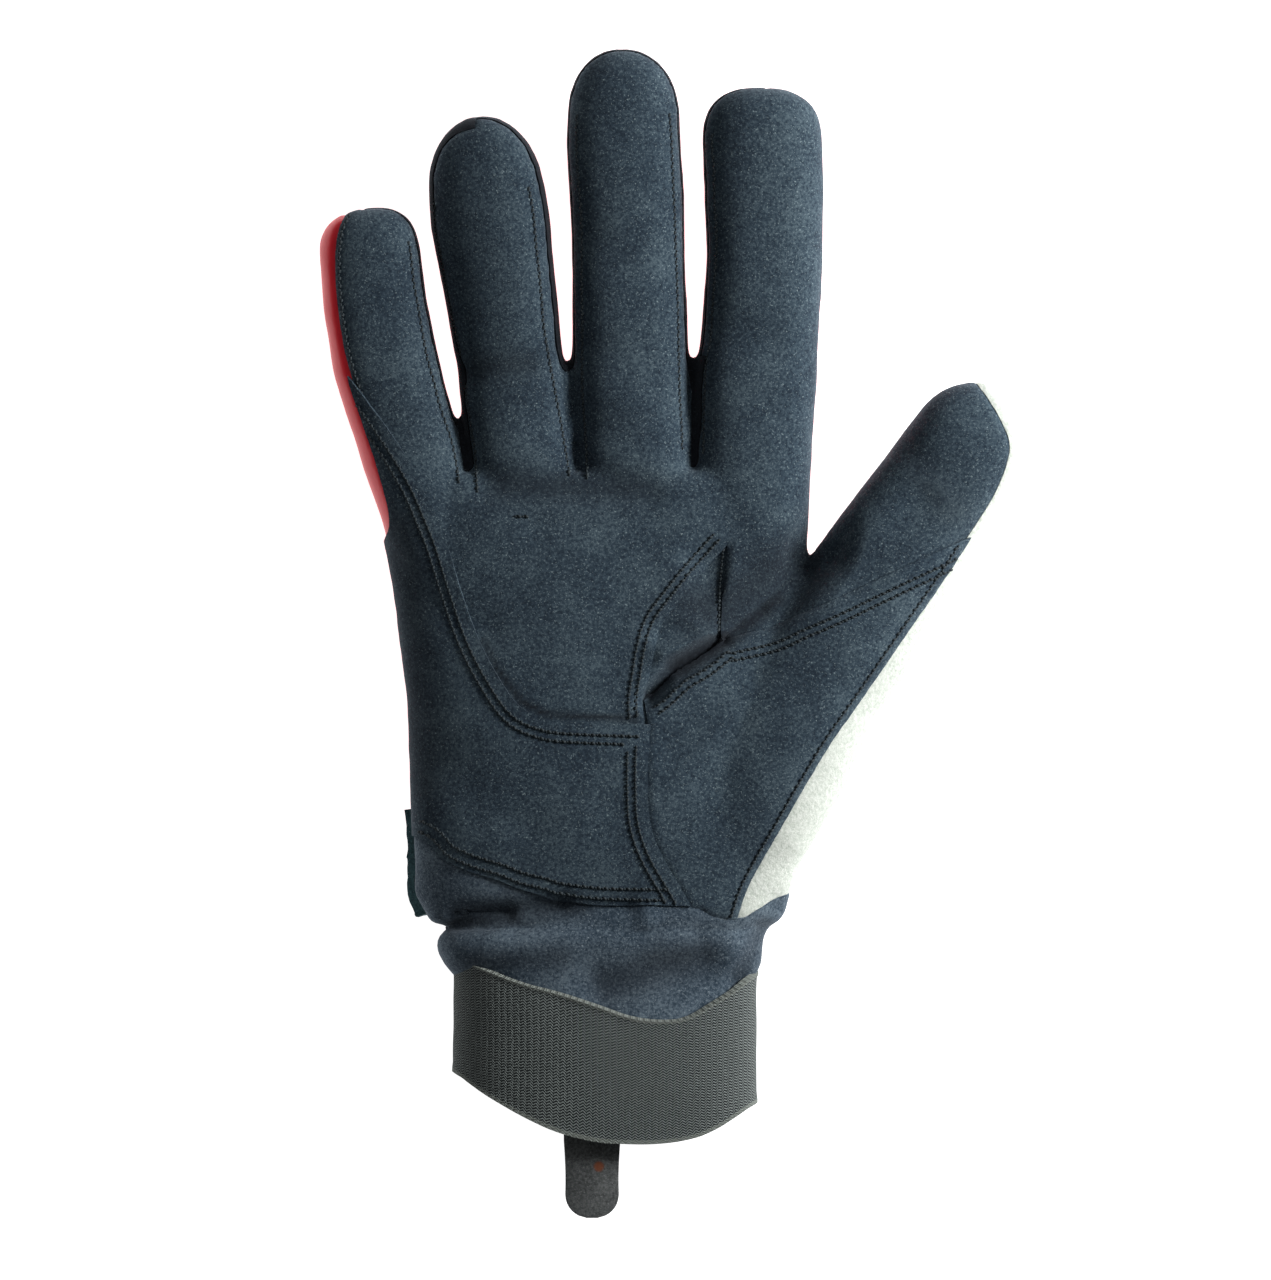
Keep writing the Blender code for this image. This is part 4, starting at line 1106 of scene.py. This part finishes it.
# Side panels: black knit strips between the fingers, sewn to the fronts and to the back.
# Each goes down one finger's side, round the fork and up the next one's.
SIDE_KNIT = suede(
    "side_knit", (0.003, 0.004, 0.007), (0.005, 0.007, 0.011), (0.010, 0.013, 0.018), (0.03, 0.04, 0.05)
)
for near, far, near_base, far_base in (
    (little, ring, LITTLE_BASE, RING_BASE),
    (ring, middle, RING_BASE, MIDDLE_BASE),
    (middle, index, MIDDLE_BASE, INDEX_BASE),
):
    between = [
        near_base,
        beside(near, near.length + REACH, 0.0),
        beside(far, far.length + REACH, 0.0),
        far_base,
    ]
    blocks = [block(between, -SIDE_DOWN, SIDE_UP + 0.1 * MM)]
    if far is ring:
        blocks.append(block(ring_side, -0.9 * SIDE_DOWN, RING_UP + 0.1 * MM))
    if far is index:
        blocks.append(block(index_side, -0.9 * SIDE_DOWN, INDEX_UP + 0.1 * MM))
    side_panel = panel(f"side_panel_{near.name}_{far.name}_knit", skin, blocks, sink=0.1 * MM)
    dress(side_panel, "side_fabric", [f"side_panel_{near.name}_{far.name}"], SIDE_KNIT, LINING)

# Wrist panel: soft black cloth between hand and cuff, gathered so that it falls in folds.
# It is sewn to the heel above and into the band below.
wrist_outline = [*wrist_seam, at(1.300, -0.300), at(-1.300, -0.300)]
wrist_back = [
    np.array((-PALM_HALF - REACH, BACK_LINE)), at(0.660, -0.042), at(0.849, 0.018), at(1.300, 0.068),
    at(1.500, -0.310), at(-2.000, -0.310),
]
wrist_panel = panel(
    "wrist_panel_cloth", skin,
    [block(wrist_outline, 0.0, REACH), block(wrist_back, -1.1 * REACH, 0.3 * MM)], sink=0.15 * MM,
    lift=0.40 * MM,
)
CLOTH = suede(
    "wrist_cloth", (0.018, 0.033, 0.050), (0.054, 0.078, 0.104), (0.112, 0.150, 0.182), (0.28, 0.34, 0.38)
)
dress(wrist_panel, "side_fabric", ["wrist_panel"], CLOTH, LINING)

# Cuff band: woven elastic with a rib, a rolled upper rim and a pale selvedge at its lower rim.
# It is sewn round the lower end of the wrist panel and holds the pull tab.
CUFF_HALF = 33.4 * MM
CUFF_RISE = 14.0 * MM
CUFF_DROP = 12.8 * MM


def tube(name, levels, sides, place, thick):
    """An open tube drawn ring by ring, with a rim, its seam line at the little finger's side."""
    shape = bmesh.new()
    grid = [
        [shape.verts.new(place(level / levels, 2 * math.pi * side / sides)) for side in range(sides)]
        for level in range(levels + 1)
    ]
    lengths = [0.0]
    for side in range(sides):
        lengths.append(lengths[-1] + (grid[0][(side + 1) % sides].co - grid[0][side].co).length)
    layer = shape.loops.layers.uv.new("UVMap")
    for level in range(levels):
        for side in range(sides):
            right = (side + 1) % sides
            face = shape.faces.new(
                (grid[level][side], grid[level + 1][side], grid[level + 1][right], grid[level][right])
            )
            spots = ((side, level), (side, level + 1), (side + 1, level + 1), (side + 1, level))
            for loop, spot in zip(face.loops, spots):
                loop[layer].uv = (lengths[spot[0]] / lengths[-1], spot[1] / levels)
    bmesh.ops.recalc_face_normals(shape, faces=shape.faces)
    made = new_piece(name, shape)
    modify(made, "SOLIDIFY", thickness=thick, offset=-1.0)
    bpy.ops.object.shade_smooth_by_angle(angle=math.radians(50))
    return made


def on_cuff(angle):
    """Across and up at an angle round the wrist."""
    sideways = math.copysign(abs(math.cos(angle)) ** 0.8, math.cos(angle))
    upward = math.copysign(abs(math.sin(angle)) ** 0.8, math.sin(angle))
    return sideways * CUFF_HALF, upward * (CUFF_RISE if upward > 0 else CUFF_DROP)


Fold = namedtuple("Fold", "across top bottom")
BAND_FOLDS = (
    Fold(-1.00, 0.00, 0.96), Fold(-0.83, 0.09, 1.13), Fold(-0.57, 0.22, 1.32),
    Fold(-0.30, 0.31, 1.48), Fold(-0.04, 0.42, 1.56), Fold(0.16, 0.52, 1.57),
    Fold(0.36, 0.55, 1.57), Fold(0.55, 0.53, 1.54), Fold(0.69, 0.41, 1.48),
    Fold(0.85, 0.30, 1.36), Fold(1.00, 0.14, 1.23),
)
BAND_HEIGHT = 26.0 * MM
BAND_TOP = -11.0 * MM
BAND_LEVELS = 40
BAND_SIDES = 200


def rims(across, palm_side):
    first, last = BAND_FOLDS[0], BAND_FOLDS[-1]
    if not palm_side:
        share = (across + 1.0) / 2.0
        bow = 0.12 * (1.0 - across * across)
        return (
            first.top + (last.top - first.top) * share - bow,
            first.bottom + (last.bottom - first.bottom) * share - bow,
        )
    spots = [fold.across for fold in BAND_FOLDS]
    tops = np.interp([across - 0.07, across, across + 0.07], spots, [fold.top for fold in BAND_FOLDS])
    feet = np.interp([across - 0.07, across, across + 0.07], spots, [fold.bottom for fold in BAND_FOLDS])
    return float(tops.mean()), float(feet.mean())


def band_place(share, angle):
    x, z = on_cuff(angle)
    top, bottom = rims(x / CUFF_HALF, z >= 0.0)
    ripple = 0.25 * MM * noise.noise(Vector((x * 110.0, share * 3.0, z * 70.0)))
    rolled = 0.35 * MM * math.exp(-((share / 0.02) ** 2))
    rolled += 0.20 * MM * math.exp(-(((1.0 - share) / 0.04) ** 2))
    away = Vector((x, 0.0, z)).normalized() * (ripple + rolled)
    return (
        x + away.x,
        BAND_TOP - (top + (bottom - top) * share) * BAND_HEIGHT,
        MIDDLE_HEIGHT + z + away.z,
    )


cuff_band = tube("cuff_band_elastic", BAND_LEVELS, BAND_SIDES, band_place, 1.5 * MM)
ELASTIC, elastic_tree, elastic_surface = new_material("elastic", (0.05, 0.058, 0.055), 0.85)
elastic_split = add(elastic_tree, "ShaderNodeSeparateXYZ")
elastic_tree.links.new(
    add(elastic_tree, "ShaderNodeUVMap").outputs["UV"], elastic_split.inputs[0]
)
round_band, down_band = elastic_split.outputs["X"], elastic_split.outputs["Y"]
# Fine weft rows climb and fall in narrow columns, as a woven elastic's do.
WEAVE_COLUMNS = 108.0
WEAVE_ROWS = 46.0
columns = maths(elastic_tree, "MULTIPLY", round_band, WEAVE_COLUMNS)
rows_down = maths(elastic_tree, "MULTIPLY", down_band, WEAVE_ROWS)
zigzag = maths(elastic_tree, "PINGPONG", columns, 0.5)
slant = maths(elastic_tree, "MULTIPLY_ADD", zigzag, 1.9, rows_down)
weft = maths(elastic_tree, "SINE", maths(elastic_tree, "MULTIPLY", slant, 2 * math.pi))
valley = maths(elastic_tree, "COSINE", maths(elastic_tree, "MULTIPLY", columns, 4 * math.pi))
valley = maths(elastic_tree, "MULTIPLY_ADD", valley, -0.06, 0.45)
weave = maths(elastic_tree, "MULTIPLY_ADD", weft, 0.42, valley)
fuzz = grain(elastic_tree, Scale=1400.0, Detail=3.0, Roughness=0.7)
weave = maths(elastic_tree, "ADD", weave, maths(elastic_tree, "MULTIPLY_ADD", fuzz, 0.5, -0.25))
elastic_tone = toned(elastic_tree, weave, (0.2, (0.008, 0.011, 0.013)), (0.85, (0.200, 0.228, 0.220)))
selvedge = maths(elastic_tree, "GREATER_THAN", down_band, 0.968)
rim_top = maths(elastic_tree, "LESS_THAN", down_band, 0.016)
pale = maths(elastic_tree, "MULTIPLY", maths(elastic_tree, "MAXIMUM", selvedge, rim_top), 0.7)
elastic_tree.links.new(
    mixed(elastic_tree, pale, elastic_tone, (0.20, 0.22, 0.20)), elastic_surface.inputs["Base Color"]
)
roughen(elastic_tree, elastic_surface, weave, 0.7, 0.0004)
dress(cuff_band, "elastic", ["cuff_band"], ELASTIC)

# Pull tab: a strip of dark leather with a rounded end and a punched hole, painted on rather than cut,
# sewn inside the band to help pull the glove on.
TAB_WIDTH = 12.4 * MM
TAB_LENGTH = 30.0 * MM
TAB_THICK = 1.2 * MM
bpy.ops.mesh.primitive_grid_add(x_subdivisions=24, y_subdivisions=58, size=1.0)
pull_tab = bpy.context.object
pull_tab.name = "pull_tab_leather"
for vertex in pull_tab.data.vertices:
    along = vertex.co.y + 0.5
    x = vertex.co.x * TAB_WIDTH
    y = along * TAB_LENGTH
    corner = 0.9 * TAB_WIDTH / 2
    if y < corner:
        width = TAB_WIDTH / 2 - corner + math.sqrt(max(0.0, corner ** 2 - (corner - y) ** 2))
        x = vertex.co.x * 2 * max(width, 1.2 * MM)
    narrow = 1.0 - 0.06 * math.sin(math.pi * min(1.0, y / (17 * MM)))
    bend = -math.tan(math.radians(7.0)) * (TAB_LENGTH - y)
    curl = 0.25 * MM * math.sin(y / (4.1 * MM)) - 0.6 * MM * (2 * x / TAB_WIDTH) ** 2
    vertex.co = (x * narrow, y, bend + curl)
modify(pull_tab, "SOLIDIFY", thickness=TAB_THICK)
modify(pull_tab, "BEVEL", width=0.3 * MM, segments=2, angle_limit=math.radians(60))
bpy.ops.object.shade_smooth_by_angle(angle=math.radians(60))
pull_tab.data.transform(
    Matrix.Translation((-2.8 * MM, -68.4 * MM, MIDDLE_HEIGHT + CUFF_RISE - 1.6 * MM - 0.6 * MM))
)
TAB = suede(
    "tab_leather", (0.046, 0.049, 0.050), (0.084, 0.090, 0.090), (0.136, 0.144, 0.144), (0.24, 0.25, 0.25)
)
# The punched hole, a soft round brown mark painted on the tab's face: partly painted shade in the hole,
# partly the brown that shows through it
HOLE_PLACE = (-16.6 * MM, -116.6 * MM, 0.0)
tab_tree = TAB.node_tree
tab_colour = tab_tree.nodes["Principled BSDF"].inputs["Base Color"]
tab_plan = add(tab_tree, "ShaderNodeVectorMath", operation="MULTIPLY")
tab_plan.inputs[1].default_value = (1.0, 1.0, 0.0)
tab_tree.links.new(add(tab_tree, "ShaderNodeTexCoord").outputs["Object"], tab_plan.inputs[0])
tab_away = add(tab_tree, "ShaderNodeVectorMath", operation="DISTANCE")
tab_away.inputs[1].default_value = HOLE_PLACE
tab_tree.links.new(tab_plan.outputs[0], tab_away.inputs[0])
painted_hole_mark = between_limits(tab_tree, tab_away.outputs["Value"], 0.8 * MM, 1.35 * MM, 0.85, 0.0)
tab_tree.links.new(
    mixed(tab_tree, painted_hole_mark, tab_colour.links[0].from_socket, (0.20, 0.055, 0.018)), tab_colour
)
dress(pull_tab, "tab_leather", ["pull_tab"], TAB)

# Wrist strap: a closing strap of soft teal-black cloth, fastened across the back of the wrist. Its root,
# sewn in at the little finger's edge, is what shows from the palm.
STRAP_LOW = -1.5 * MM
STRAP_WIDTH = 22.5 * MM
STRAP_END = 13.0 * MM  # where it ends across the back of the wrist
STRAP_CORNER = 3.0 * MM
strap_outline = [
    np.array((-PALM_HALF - REACH, STRAP_LOW)),
    np.array((STRAP_END - STRAP_CORNER, STRAP_LOW)),
    np.array((STRAP_END, STRAP_LOW + STRAP_CORNER)),
    np.array((STRAP_END, STRAP_LOW + STRAP_WIDTH - STRAP_CORNER)),
    np.array((STRAP_END - STRAP_CORNER, STRAP_LOW + STRAP_WIDTH)),
    np.array((-PALM_HALF - REACH, STRAP_LOW + STRAP_WIDTH)),
]
wrist_strap = panel(
    "wrist_strap_cloth", skin, [block(strap_outline, -REACH, -2.0 * MM)], lift=0.6 * MM,
    thick=2.7 * MM, sink=-0.5 * MM, roll=7.0 * MM, outward=True,
)
bpy.data.objects.remove(skin)
STRAP = suede(
    "strap_cloth", (0.010, 0.036, 0.042), (0.024, 0.070, 0.082), (0.050, 0.110, 0.120), (0.14, 0.22, 0.24)
)
dress(wrist_strap, "strap", ["wrist_strap"], STRAP, LINING)
